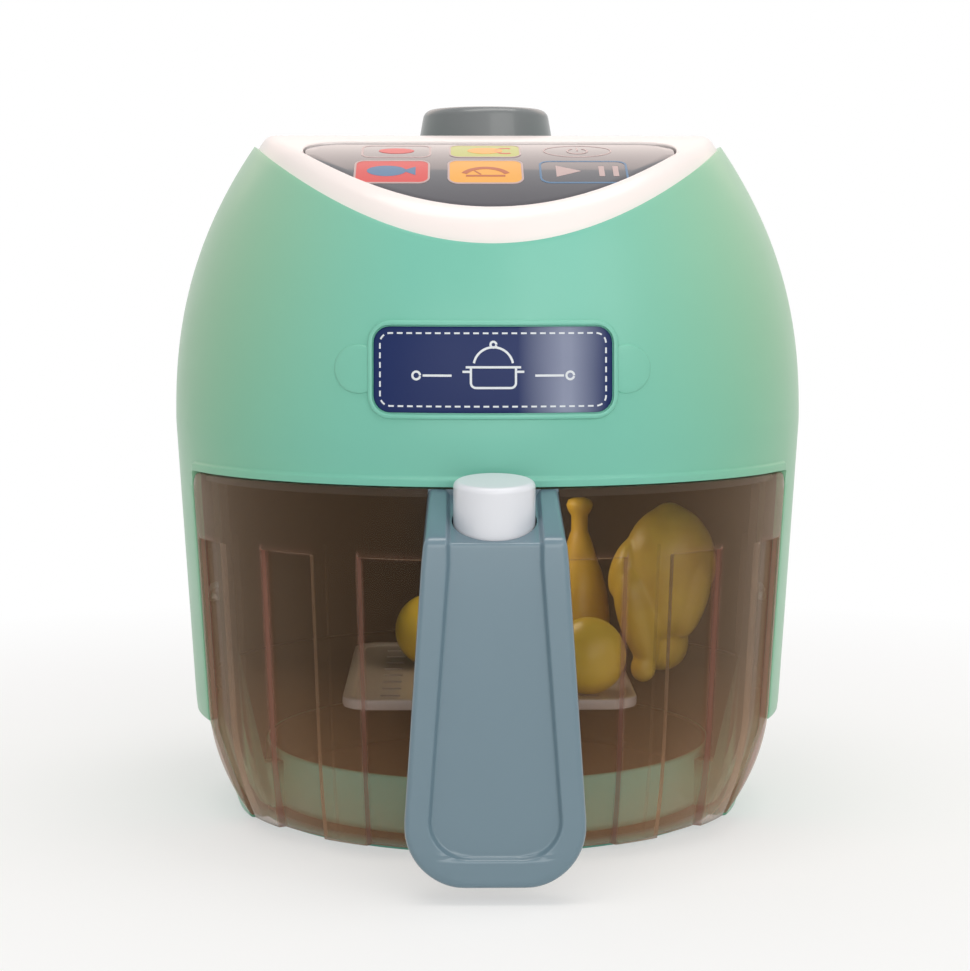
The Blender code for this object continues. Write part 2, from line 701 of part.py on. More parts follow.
def base_pan(surface):
    """Turned floor and rear wall, with the front left open for the drawer."""
    spigot = barrel_radius(SHELL_BOTTOM_Z) - SHELL_WALL - FIT
    top = SHELL_BOTTOM_Z + BASE_SPIGOT
    profile = [(0, 0), (BASE_FOOT_RADIUS, 0), (BASE_WAIST_RADIUS, SHELL_BOTTOM_Z - BASE_WALL),
               (spigot, SHELL_BOTTOM_Z), (spigot, top), (spigot - BASE_WALL, top),
               (spigot - BASE_WALL, SHELL_BOTTOM_Z + BASE_WALL),
               (BASE_WAIST_RADIUS - BASE_WALL, SHELL_BOTTOM_Z),
               (BASE_FOOT_RADIUS - BASE_WALL, BASE_FLOOR), (0, BASE_FLOOR)]
    pan = add("base_pan", turned(profile, TURN_STEPS), surface)
    sections = []
    for azimuth in spread(-BASE_GAP_HALF_ANGLE, BASE_GAP_HALF_ANGLE, TURN_STEPS // 2):
        sections.append([polar(azimuth, radius, z) for radius, z in
                         ((BASE_FRONT_RADIUS, -OVERRUN), (BELLY_RADIUS, -OVERRUN),
                          (BELLY_RADIUS, top + OVERRUN), (BASE_FRONT_RADIUS, top + OVERRUN))])
    cut(pan, "front", loft(sections))
    return pan


def chamber_ceiling(surface):
    """The partition between the drawer's chamber and the electronics, with sound slots."""
    top = CEILING_Z + CEILING_THICKNESS
    edge = [(barrel_radius(z) - SHELL_WALL - FIT, z) for z in (CEILING_Z, top)]
    plate = add("chamber_ceiling", turned([(0, CEILING_Z)] + edge + [(0, top)], TURN_STEPS), surface)
    cut(plate, "lamp_hole", rod(LAMP_RADIUS + FIT, CEILING_Z - OVERRUN, top + OVERRUN, (0, LAMP_Y, 0),
                                (0, 0, 1), SMALL_STEPS))
    slots = []
    for index in range(SOUND_SLOT_COUNT):
        y = SPEAKER_Y + (index - (SOUND_SLOT_COUNT - 1) / 2) * SOUND_SLOT_PITCH
        outline = [(SPEAKER_X + side * SOUND_SLOT_LENGTH / 2, y + edge_side * SOUND_SLOT_WIDTH / 2)
                   for side, edge_side in ((-1, -1), (1, -1), (1, 1), (-1, 1))]
        slots.append(prism(outline, "Z", CEILING_Z - OVERRUN, top + OVERRUN))
    cut(plate, "sound_slots", merged(slots))
    return plate


def lamp_lens(surface):
    top = CEILING_Z + CEILING_THICKNESS + FIT
    low = CEILING_Z - LAMP_DROP
    dome = [(LAMP_RADIUS * math.sin(turn), CEILING_Z - LAMP_DROP * math.cos(turn))
            for turn in spread(0, math.pi / 2, CORNER_STEPS + 1)]
    profile = dome + [(LAMP_RADIUS, top), (LAMP_RADIUS + LAMP_FLANGE, top),
                      (LAMP_RADIUS + LAMP_FLANGE, top + LAMP_FLANGE_THICKNESS),
                      (0, top + LAMP_FLANGE_THICKNESS)]
    profile[0] = (0, low)
    return add("lamp_lens", turned(profile, SMALL_STEPS, (0, LAMP_Y, 0)), surface)


def speaker(surface):
    base = CEILING_Z + CEILING_THICKNESS + FIT
    cone = base + SPEAKER_RIM
    profile = [(0, base + SPEAKER_RIM / 2), (SPEAKER_RADIUS - SPEAKER_RIM, base),
               (SPEAKER_RADIUS, base), (SPEAKER_RADIUS, cone), (SPEAKER_MAGNET_RADIUS, cone + SPEAKER_RIM),
               (SPEAKER_MAGNET_RADIUS, base + SPEAKER_HEIGHT), (0, base + SPEAKER_HEIGHT)]
    return add("speaker", turned(profile, SMALL_STEPS, (SPEAKER_X, SPEAKER_Y, 0)), surface)


# Bezel, lens and board

def lens_back():
    """Depth of the lens's straight back edge."""
    return LENS_FRONT_BORDER + LENS_LENGTH - rim_radius(0.0)


def lens_outline(grow):
    """D shape in plan: its round front runs beside the rim, and its back edge is straight."""
    front = []
    back = lens_back() + grow
    for azimuth in spread(-math.pi / 2, math.pi / 2, TURN_STEPS // 2 + 1):
        border = LENS_FRONT_BORDER + (LENS_SIDE_BORDER - LENS_FRONT_BORDER) * math.sin(azimuth) ** 2
        point = polar(azimuth, rim_radius(azimuth) - border + grow, 0)
        if point.y < back - LENS_CORNER:
            front.append((point.x, point.y))
    last_x = front[-1][0]
    side_x = last_x + LENS_CORNER / 4
    points = [(-side_x, back)] + front + [(side_x, back)]
    return rounded(points, {0: LENS_CORNER * 3 / 4, len(points) - 1: LENS_CORNER * 3 / 4})


def board_frame():
    """Matrix of the board: its centre under the lens, turned parallel to the lens's chord."""
    depth = lens_back() - LENS_LENGTH / 2
    slope = math.asin(-depth / CREST_RADIUS)
    centre = Vector((0, depth, crest_height(depth, BEZEL_PROUD)))
    turn = Matrix.Rotation(slope, 4, "X")
    return Matrix.Translation(centre) @ turn


def board_posts():
    """Places of the four posts on the board, in its own plane."""
    reach_x = BOARD_WIDTH / 2 - BOARD_POST_INSET
    reach_y = BOARD_DEPTH / 2 - BOARD_POST_INSET
    for x_side in (-1, 1):
        for y_side in (-1, 1):
            yield x_side * reach_x, y_side * reach_y


def top_bezel(surface):
    bezel = add("top_bezel", crest_slab(-SEAT_DEPTH + FIT, BEZEL_PROUD, back=BEZEL_BACK_Y), surface)
    keep(bezel, "inside_rim", barrel_core(RIM_WIDTH + FIT, low=CREST_Z - SHOULDER_RISE))
    soften(bezel, BEZEL_EDGE, 2)
    shelf = BEZEL_PROUD - LENS_SUNK - LENS_THICKNESS - FIT
    recess = cut(bezel, "lens_recess", crest_slab(shelf, None))
    keep(recess, "outline", prism(lens_outline(FIT), "Z", BELLY_Z, CREST_Z + BEZEL_PROUD + OVERRUN))
    cut(bezel, "lens_window", prism(lens_outline(-LENS_LEDGE), "Z", BELLY_Z, CREST_Z + BEZEL_PROUD + OVERRUN))
    return bezel


def control_panel(surface):
    top = BEZEL_PROUD - LENS_SUNK
    panel = add("control_panel", crest_slab(top - LENS_THICKNESS, top), surface)
    keep(panel, "outline", prism(lens_outline(0.0), "Z", BELLY_Z, CREST_Z + BEZEL_PROUD + OVERRUN))
    frame = board_frame()
    for index, (x, y) in enumerate(board_posts()):
        post = rod(BOARD_POST_RADIUS, -BOARD_DROP + FIT, -LENS_THICKNESS, (x, y, 0), (0, 0, 1))
        bmesh.ops.transform(post, matrix=frame, verts=post.verts)
        fuse(panel, f"post_{index}", post)
    return panel


def circuit_board(surface):
    outline = rectangle(BOARD_WIDTH / 2, -BOARD_DEPTH / 2, BOARD_DEPTH / 2, 0)
    board = prism(outline, "Z", -BOARD_DROP - BOARD_THICKNESS, -BOARD_DROP)
    bmesh.ops.transform(board, matrix=board_frame(), verts=board.verts)
    return add("circuit_board", board, surface)


# Mist well and cap

def mist_well(surface):
    """A cup that hangs by its flange on the collar."""
    seat = COLLAR_TOP_Z + FIT
    top = seat + WELL_FLANGE_THICKNESS
    bottom = seat - WELL_DEPTH
    profile = [(0, bottom), (WELL_RADIUS, bottom), (WELL_RADIUS, seat), (WELL_RADIUS + WELL_FLANGE, seat),
               (WELL_RADIUS + WELL_FLANGE, top), (WELL_RADIUS, top), (WELL_RADIUS, top + WELL_NECK_RISE),
               (WELL_RADIUS - WELL_WALL, top + WELL_NECK_RISE), (WELL_RADIUS - WELL_WALL, bottom + WELL_WALL),
               (0, bottom + WELL_WALL)]
    return add("mist_well", turned(profile, SMALL_STEPS, (0, CAP_Y, 0)), surface)


def mist_cap(surface):
    """A hollow cap whose skirt stands on the collar round the well's flange."""
    bottom = COLLAR_TOP_Z + FIT
    inner = CAP_TOP_RADIUS - CAP_WALL
    ceiling = CAP_TOP_Z - CAP_WALL
    outer = rounded([(CAP_RADIUS, bottom), (CAP_TOP_RADIUS, CAP_TOP_Z), (0, CAP_TOP_Z)], {1: CAP_EDGE})
    profile = outer + [(0, ceiling), (inner, ceiling), (CAP_RADIUS - CAP_WALL, bottom)]
    cap = add("mist_cap", turned(profile, SMALL_STEPS + SMALL_STEPS // 2, (0, CAP_Y, 0)), surface)
    carry(carrier("cap_axis", (0, CAP_Y, COLLAR_TOP_Z)), [cap])
    return cap


# Battery box

def box_floor_y():
    """Depth of the battery box's floor, two cell radii in from the door's side edges."""
    radius = barrel_radius(BOX_TOP_Z) - SHELL_WALL
    edge_y = math.sqrt(radius ** 2 - DOOR_HALF_WIDTH ** 2)
    return edge_y - 2 * CELL_RADIUS - 2 * CELL_GAP


def battery_box(surface):
    """A block that fits the shell's inner wall round the doorway, hollowed for the cells."""
    half_width = DOOR_HALF_WIDTH + BOX_RIM
    outline = rectangle(half_width, BOX_BOTTOM_Z, BOX_TOP_Z, 0)
    box = add("battery_box", prism(outline, "Y", box_floor_y() - BOX_WALL, BELLY_RADIUS), surface)
    keep(box, "inside_barrel", barrel_core(SHELL_WALL + FIT))
    cavity = rectangle(BOX_INNER_HALF_WIDTH, CELLS_BOTTOM_Z, CELLS_TOP_Z, 0)
    cut(box, "cavity", prism(cavity, "Y", box_floor_y(), BELLY_RADIUS + OVERRUN))
    cut(box, "pilot", rod(SCREW_RADIUS + FIT, box_floor_y() + CELL_RADIUS, BELLY_RADIUS,
                          (0, 0, DOOR_SCREW_Z), (0, 1, 0)))
    return box


def battery(index, surface):
    """One round cell with its nub, lying along X; the cells point opposite ways."""
    z = CELLS_BOTTOM_Z + CELL_GAP + (index + 0.5) * CELL_PITCH - CELL_GAP / 2
    start = -CELL_LENGTH / 2
    profile = [(0, start), (CELL_RADIUS, start), (CELL_RADIUS, -start), (CELL_NUB_RADIUS, -start),
               (CELL_NUB_RADIUS, -start + CELL_NUB_HEIGHT), (0, -start + CELL_NUB_HEIGHT)]
    y = box_floor_y() + CELL_RADIUS + FIT
    side = 1 - 2 * (index % 2)
    return add(f"battery_{index + 1}", turned(profile, SMALL_STEPS, (0, y, z), (side, 0, 0)), surface)


def battery_door(surface):
    door = add("battery_door", door_layer(DOOR_THICKNESS, 0.0), surface)
    keep(door, "outline", prism(door_outline(0.0), "Y", BELLY_RADIUS / 2, BELLY_RADIUS + OVERRUN))
    cut(door, "screw_hole", rod(SCREW_RADIUS + FIT, BELLY_RADIUS / 2, BELLY_RADIUS + OVERRUN,
                                (0, 0, DOOR_SCREW_Z), (0, 1, 0)))
    return door


def screw(name, surface, seat, axis, grip):
    """A pan-head screw: the head stands on seat, and the shank points against the axis."""
    rim = SCREW_HEAD_RADIUS - SCREW_DRIVE / 2
    profile = [(0, -grip), (SCREW_RADIUS, -grip + SCREW_RADIUS / 2), (SCREW_RADIUS, 0),
               (SCREW_HEAD_RADIUS, 0), (SCREW_HEAD_RADIUS, SCREW_HEAD_HEIGHT / 2),
               (rim, SCREW_HEAD_HEIGHT), (SCREW_DRIVE, SCREW_HEAD_HEIGHT),
               (0, SCREW_HEAD_HEIGHT / 2)]
    return add(name, turned(profile, SCREW_STEPS, seat, axis), surface)


# Drawer

def flute_depth(azimuth, z, widen=0.0):
    """How deep the window's face is sunk at a place; widen grows each flute on its sides and top."""
    if z > FLUTE_TOP_Z + widen + FLUTE_STEP / 2:
        return 0.0
    grow = widen / BELLY_RADIUS
    for start, end in FLUTE_EDGES:
        if start - grow <= abs(azimuth) <= end + grow:
            return FLUTE_DEPTH
    return 0.0


def flute_azimuths():
    """Azimuths of the window's sections: each flute's two edges, outside and inside, and between."""
    step = FLUTE_STEP / BELLY_RADIUS
    grow = WINDOW_WALL / BELLY_RADIUS
    tiny = step / 20
    marks = [0.0] + corner_ends(WINDOW_HALF_ANGLE)
    for start, end in FLUTE_EDGES:
        middle = (start + end) / 2
        marks += [start - grow - step, start - grow + tiny, start - step, start + tiny, middle,
                  end - tiny, end + step, end + grow - tiny, end + grow + step]
    marks = sorted(mark for mark in marks if mark <= WINDOW_HALF_ANGLE)
    return [-mark for mark in marks[:0:-1]] + marks


def window_heights():
    """Levels of the window's grid, with the flutes' outer and inner top edges."""
    outer = [FLUTE_TOP_Z, FLUTE_TOP_Z + FLUTE_STEP]
    inner = [level + WINDOW_WALL for level in outer]
    foot = spread(WINDOW_BOTTOM_Z, FOOT_CURVE_RISE, 4)
    waist = spread(FOOT_CURVE_RISE, FLUTE_TOP_Z, 4)[1:-1]
    return foot + waist + outer + inner + [WINDOW_TOP_Z - OPENING_CORNER - FIT, WINDOW_TOP_Z]


def drawer_window(surface):
    """The smoked front: the barrel's own surface with sunk flutes and a constant wall."""
    heights = window_heights()
    sections = []
    for azimuth in flute_azimuths():
        lowered = heights[:-1] + [WINDOW_TOP_Z - corner_drop(azimuth, WINDOW_HALF_ANGLE)]
        outside = [polar(azimuth, barrel_radius(z) - flute_depth(azimuth, z), z) for z in lowered]
        inside = [polar(azimuth, barrel_radius(z) - WINDOW_WALL - flute_depth(azimuth, z, WINDOW_WALL), z)
                  for z in lowered]
        sections.append(outside + inside[::-1])
    window = add("drawer_window", loft(sections), surface)
    holes = [rod(SCREW_RADIUS + FIT, BELLY_RADIUS / 2, BELLY_RADIUS + OVERRUN,
                 (x, 0, HANDLE_SCREW_Z), (0, -1, 0)) for x in (-HANDLE_SCREW_X, HANDLE_SCREW_X)]
    cut(window, "screw_holes", merged(holes))
    return window


def drawer_tray(surface):
    """A round pan, and the frame that stands on it behind the window's edges."""
    edge = TRAY_WALL / 2
    profile = [(0, TRAY_FLOOR_Z), (TRAY_RADIUS - TRAY_WALL, TRAY_FLOOR_Z),
               (TRAY_RADIUS, TRAY_FLOOR_Z + TRAY_WALL), (TRAY_RADIUS, TRAY_RIM_Z - edge),
               (TRAY_RADIUS - edge, TRAY_RIM_Z), (TRAY_RADIUS - TRAY_WALL, TRAY_RIM_Z - edge),
               (TRAY_RADIUS - TRAY_WALL, TRAY_FLOOR_Z + 2 * TRAY_WALL),
               (TRAY_RADIUS - 2 * TRAY_WALL, TRAY_FLOOR_Z + TRAY_WALL), (0, TRAY_FLOOR_Z + TRAY_WALL)]
    tray = add("drawer_tray", turned(profile, TURN_STEPS), surface)
    recess = WINDOW_WALL + FLUTE_DEPTH + FRAME_CLEARANCE
    low = TRAY_FLOOR_Z + TRAY_WALL
    for name, side in (("left", -1), ("right", 1)):
        middle = side * (WINDOW_HALF_ANGLE - FRAME_ANGLE / 2)
        inner = recess + FRAME_DEPTH
        fuse(tray, f"post_{name}", barrel_layer(FRAME_ANGLE / 2, low, WINDOW_TOP_Z, inner, recess, middle, 3))
        foot_high = TRAY_RIM_Z - TRAY_WALL
        foot_inner = barrel_radius(foot_high) - TRAY_RADIUS + TRAY_WALL / 2
        fuse(tray, f"foot_{name}", barrel_layer(FRAME_ANGLE / 2, TRAY_FLOOR_Z + TRAY_WALL / 2, foot_high,
                                                foot_inner, recess + FRAME_DEPTH / 2, middle, 3))
    fuse(tray, "bar", barrel_layer(WINDOW_HALF_ANGLE - FRAME_ANGLE / 3, WINDOW_TOP_Z - FRAME_BAR,
                                   WINDOW_TOP_Z - FRAME_BAR / 8, recess + FRAME_DEPTH * 3 / 4,
                                   WINDOW_WALL + FRAME_CLEARANCE, 0.0, TURN_STEPS // 2))
    return tray


def grill_rack(surface):
    """A slotted plate with a raised rim, on four legs that stand on the tray."""
    depth_middle = (RACK_FRONT_Y + RACK_BACK_Y) / 2
    half_depth = (RACK_BACK_Y - RACK_FRONT_Y) / 2

    def plan(inset):
        corner = RACK_CORNER - inset
        return rectangle(RACK_HALF_WIDTH - inset, depth_middle - half_depth + inset,
                         depth_middle + half_depth - inset, corner)

    rack = add("grill_rack", prism(plan(0.0), "Z", RACK_BOTTOM_Z, RACK_TOP_Z), surface)
    soften(rack, RACK_RIM_DEPTH * 3 / 4, 1)
    cut(rack, "well", prism(plan(RACK_RIM), "Z", RACK_TOP_Z - RACK_RIM_DEPTH, RACK_TOP_Z + OVERRUN))
    slots = []
    pitch_x = 2 * (RACK_HALF_WIDTH - 2 * RACK_RIM) / RACK_SLOT_COLUMNS
    pitch_y = 2 * (half_depth - 2 * RACK_RIM) / RACK_SLOT_ROWS
    for column in range(RACK_SLOT_COLUMNS):
        x = (column - (RACK_SLOT_COLUMNS - 1) / 2) * pitch_x
        for row in range(RACK_SLOT_ROWS):
            y = depth_middle + (row - (RACK_SLOT_ROWS - 1) / 2) * pitch_y
            half_x = RACK_SLOT_LENGTH / 2
            half_y = RACK_SLOT_WIDTH / 2
            outline = [(x - half_x, y - half_y), (x + half_x, y - half_y),
                       (x + half_x, y + half_y), (x - half_x, y + half_y)]
            slots.append(prism(outline, "Z", RACK_BOTTOM_Z - OVERRUN, RACK_TOP_Z + OVERRUN))
    cut(rack, "slots", merged(slots))
    leg_y = half_depth - RACK_LEG_INSET
    floor = TRAY_FLOOR_Z + TRAY_WALL + FIT
    for index, (x_side, y_side) in enumerate(((-1, -1), (1, -1), (1, 1), (-1, 1))):
        place = (x_side * RACK_LEG_X, depth_middle + y_side * leg_y, 0)
        leg = rod(RACK_LEG_RADIUS, floor, RACK_BOTTOM_Z + RACK_THICKNESS / 4, place, (0, 0, 1))
        fuse(rack, f"leg_{index}", leg)
    return rack


# Handle and button

def handle_outline(low, high):
    """Front outline of the handle, between two heights of its neck and grip."""
    half = [(NECK_HALF_WIDTH, high), (GRIP_TOP_HALF_WIDTH, HANDLE_FRONT_TOP_Z),
            (GRIP_BOTTOM_HALF_WIDTH, GRIP_WIDEST_Z), (GRIP_BOTTOM_HALF_WIDTH, low)]
    points = half + [(-x, z) for x, z in half[::-1]]
    return rounded(points, {3: GRIP_CORNER, 4: GRIP_CORNER})


def front_path():
    """Side view of the handle's face, from the window down to the grip's lower end."""
    slope = (HANDLE_TOP_Z - HANDLE_FRONT_TOP_Z) / (-HANDLE_FRONT_TOP_Y - barrel_radius(HANDLE_TOP_Z))
    inner_y = -barrel_radius(HANDLE_TOP_Z) + OVERRUN
    start = (inner_y, HANDLE_TOP_Z + slope * OVERRUN)
    return [start, (HANDLE_FRONT_TOP_Y, HANDLE_FRONT_TOP_Z), (HANDLE_FRONT_BOTTOM_Y, HANDLE_BOTTOM_Z)]


def grip_back(depth):
    """Two points of the grip's rear at a depth behind its face: at its lower end and at the neck."""
    slope = (HANDLE_FRONT_TOP_Y - HANDLE_FRONT_BOTTOM_Y) / (HANDLE_FRONT_TOP_Z - HANDLE_BOTTOM_Z)
    neck_y = HANDLE_FRONT_BOTTOM_Y + slope * (NECK_BOTTOM_Z - HANDLE_BOTTOM_Z)
    return [(HANDLE_FRONT_BOTTOM_Y + depth, HANDLE_BOTTOM_Z), (neck_y + depth, NECK_BOTTOM_Z)]


def handle_shell(surface):
    """Neck and grip in one: side profile kept inside the front outline, with a sunk tongue."""
    path = front_path()
    seam = GRIP_THICKNESS - GRIP_BACK_PLATE - FIT
    profile = path + grip_back(seam) + [(path[0][0], NECK_BOTTOM_Z)]
    profile = rounded(profile, {1: HANDLE_BROW, 4: NECK_FILLET})
    reach = GRIP_BOTTOM_HALF_WIDTH + OVERRUN
    handle = add("handle_shell", prism(profile, "X", -reach, reach), surface)
    outline = handle_outline(HANDLE_BOTTOM_Z, HANDLE_TOP_Z + OVERRUN)
    keep(handle, "outline", prism(outline, "Y", HANDLE_FRONT_BOTTOM_Y - OVERRUN, 0))
    soften(handle, HANDLE_EDGE, 2)
    tongue = cut(handle, "tongue", tongue_band(path, reach))
    keep(tongue, "outline", prism(tongue_outline(), "Y", HANDLE_FRONT_BOTTOM_Y - OVERRUN, 0))
    pocket = rod(BUTTON_RADIUS + FIT, -POCKET_DEPTH, OVERRUN, BUTTON_TOP, BUTTON_AXIS, SMALL_STEPS)
    cut(handle, "pocket", pocket)
    cut(handle, "seat", barrel_core(-FIT, low=HANDLE_BOTTOM_Z, high=HANDLE_TOP_Z + 2 * OVERRUN))
    pilots = [rod(SCREW_RADIUS + FIT, BELLY_RADIUS / 2, handle_screw_seat() + HANDLE_SCREW_REACH + FIT,
                  (x, 0, HANDLE_SCREW_Z), (0, -1, 0)) for x in (-HANDLE_SCREW_X, HANDLE_SCREW_X)]
    cut(handle, "pilots", merged(pilots))
    return handle


def tongue_band(path, reach):
    """The layer of the tongue's depth under the handle's face."""
    inner = inner_path(path, -TONGUE_DEPTH)
    top = (inner[0][0], path[0][1] + OVERRUN)
    bottom_y = path[-1][0] - OVERRUN
    outer = [(bottom_y, HANDLE_BOTTOM_Z), (bottom_y, top[1])]
    band = rounded(inner + outer + [top], {1: HANDLE_BROW - TONGUE_DEPTH})
    return prism(band, "X", -reach, reach)


def tongue_outline():
    low = HANDLE_BOTTOM_Z + TONGUE_BOTTOM_BORDER
    wide = GRIP_BOTTOM_HALF_WIDTH - TONGUE_BORDER
    top = HANDLE_TOP_Z + 2 * OVERRUN
    half = [(TONGUE_TOP_HALF_WIDTH, top), (TONGUE_TOP_HALF_WIDTH, HANDLE_FRONT_TOP_Z),
            (wide, GRIP_WIDEST_Z), (wide, low)]
    return rounded(half + [(-x, z) for x, z in half[::-1]], {3: TONGUE_CORNER, 4: TONGUE_CORNER})


def handle_back(surface):
    """The cover that closes the grip from behind."""
    lower, upper = grip_back(GRIP_THICKNESS)
    seam_lower, seam_upper = grip_back(GRIP_THICKNESS - GRIP_BACK_PLATE)
    upper = (upper[0], upper[1] - NECK_FILLET - FIT)
    seam_upper = (seam_upper[0], seam_upper[1] - NECK_FILLET - FIT)
    reach = GRIP_BOTTOM_HALF_WIDTH + OVERRUN
    back = add("handle_back", prism([lower, upper, seam_upper, seam_lower], "X", -reach, reach), surface)
    outline = handle_outline(HANDLE_BOTTOM_Z, HANDLE_TOP_Z)
    keep(back, "outline", prism(outline, "Y", HANDLE_FRONT_BOTTOM_Y - OVERRUN, 0))
    soften(back, HANDLE_EDGE / 2, 1)
    return back


def handle_screw_seat():
    """Distance from the axis to the face inside the window that the screw heads press on."""
    radius = barrel_radius(HANDLE_SCREW_Z) - WINDOW_WALL - FIT
    return math.sqrt(radius ** 2 - (HANDLE_SCREW_X + SCREW_HEAD_RADIUS) ** 2)


def release_button(surface):
    """A hollow round button with a domed edge, turned on its own tilted axis."""
    bottom = -BUTTON_HEIGHT
    outer = rounded([(BUTTON_RADIUS, bottom), (BUTTON_RADIUS, 0), (0, 0)], {1: BUTTON_EDGE})
    profile = outer + [(0, -BUTTON_CROWN), (BUTTON_BORE_RADIUS, -BUTTON_CROWN), (BUTTON_BORE_RADIUS, bottom)]
    return add("release_button", turned(profile, SMALL_STEPS + SMALL_STEPS // 3, BUTTON_TOP, BUTTON_AXIS),
               surface)


def button_spring(surface):
    """A helix between the pocket's floor and the button's crown."""
    low = -POCKET_DEPTH + SPRING_WIRE + FIT
    high = -BUTTON_CROWN - SPRING_WIRE - FIT
    count = SPRING_TURNS * SPRING_POINTS
    curve = bpy.data.curves.new("button_spring", "CURVE")
    curve.dimensions = "3D"
    curve.bevel_depth = SPRING_WIRE
    curve.bevel_resolution = 1
    curve.use_fill_caps = True
    line = curve.splines.new("POLY")
    line.points.add(count)
    turn = Vector((0, 0, 1)).rotation_difference(BUTTON_AXIS)
    for index, point in enumerate(line.points):
        angle = math.tau * index / SPRING_POINTS
        place = Vector((SPRING_RADIUS * math.cos(angle), SPRING_RADIUS * math.sin(angle),
                        low + (high - low) * index / count))
        point.co = (*(BUTTON_TOP + turn @ place), 1)
    spring = bpy.data.objects.new("button_spring", curve)
    bpy.context.scene.collection.objects.link(spring)
    curve.materials.append(surface)
    weld = spring.modifiers.new("caps", "WELD")
    weld.merge_threshold = MERGE
    return spring


# Play food

def lobe(centre, half_sizes, lean=0.0, rings=7):
    """An egg-shaped lobe, leaning about Y."""
    bm = bmesh.new()
    bmesh.ops.create_uvsphere(bm, u_segments=rings * 2, v_segments=rings, radius=1)
    for vert in bm.verts:
        vert.co = Vector([share * size for share, size in zip(vert.co, half_sizes)])
    turn = Matrix.Rotation(lean, 4, "Y")
    bmesh.ops.transform(bm, matrix=Matrix.Translation(centre) @ turn, verts=bm.verts)
    return bm


def roast_chicken(surface):
    """A plump body with two legs and a wing, standing on its legs' ends."""
    x, y = (RACK_HALF_WIDTH * share for share in CHICKEN_PLACE_SHARES)
    wide = RACK_HALF_WIDTH * CHICKEN_WIDTH_SHARE / 2
    deep = RACK_HALF_WIDTH * CHICKEN_DEPTH_SHARE / 2
    tall = RACK_HALF_WIDTH * CHICKEN_HEIGHT_SHARE
    body_shares = ((0, 0, 0.6), (0.86, 1.0, 0.4), 0.0)
    limb_shares = {"leg_left": ((-0.48, -0.25, 0.3), (0.46, 0.6, 0.3), 0.1),
                   "leg_right": ((0.46, 0.2, 0.38), (0.46, 0.6, 0.3), -0.12),
                   "wing": ((-0.62, -0.3, 0.66), (0.36, 0.55, 0.24), -0.35)}

    def bulge(place_shares, half_shares, lean, rings=7):
        centre = (x + wide * place_shares[0], y + deep * place_shares[1], FOOD_Z + tall * place_shares[2])
        halves = (wide * half_shares[0], deep * half_shares[1], tall * half_shares[2])
        return lobe(centre, halves, lean, rings)

    bird = add("roast_chicken", bulge(*body_shares, rings=9), surface)
    for name, limb in limb_shares.items():
        fuse(bird, name, bulge(*limb))
    return bird


def drumstick(surface):
    """A turned drumstick, standing on its thick end with the bone up."""
    thick = RACK_HALF_WIDTH * DRUMSTICK_RADIUS_SHARE
    bone = RACK_HALF_WIDTH * BONE_RADIUS_SHARE
    tall = RACK_HALF_WIDTH * DRUMSTICK_HEIGHT_SHARE
    meat_shares = [(0, 0), (0.62, 0.02), (0.93, 0.14), (1, 0.3), (0.86, 0.5), (0.56, 0.68), (0.36, 0.78)]
    knob_shares = [(1, 0.8), (1, 0.9), (1.5, 0.93), (1.5, 0.98), (0, 1)]
    profile = [(thick * wide, FOOD_Z + tall * high) for wide, high in meat_shares]
    profile += [(bone * wide, FOOD_Z + tall * high) for wide, high in knob_shares]
    x, y = (RACK_HALF_WIDTH * share for share in DRUMSTICK_PLACE_SHARES)
    return add("drumstick", turned(profile, SMALL_STEPS * 2 // 3, (x, y, 0)), surface)


def potato(index, surface):
    """A round potato, nearly a ball."""
    x, y = (RACK_HALF_WIDTH * share for share in POTATO_PLACE_SHARES[index])
    radius = RACK_HALF_WIDTH * POTATO_RADIUS_SHARE
    ball = lobe((x, y, FOOD_Z + radius), (radius, radius, radius), rings=9)
    return add(f"potato_{index + 1}", ball, surface)


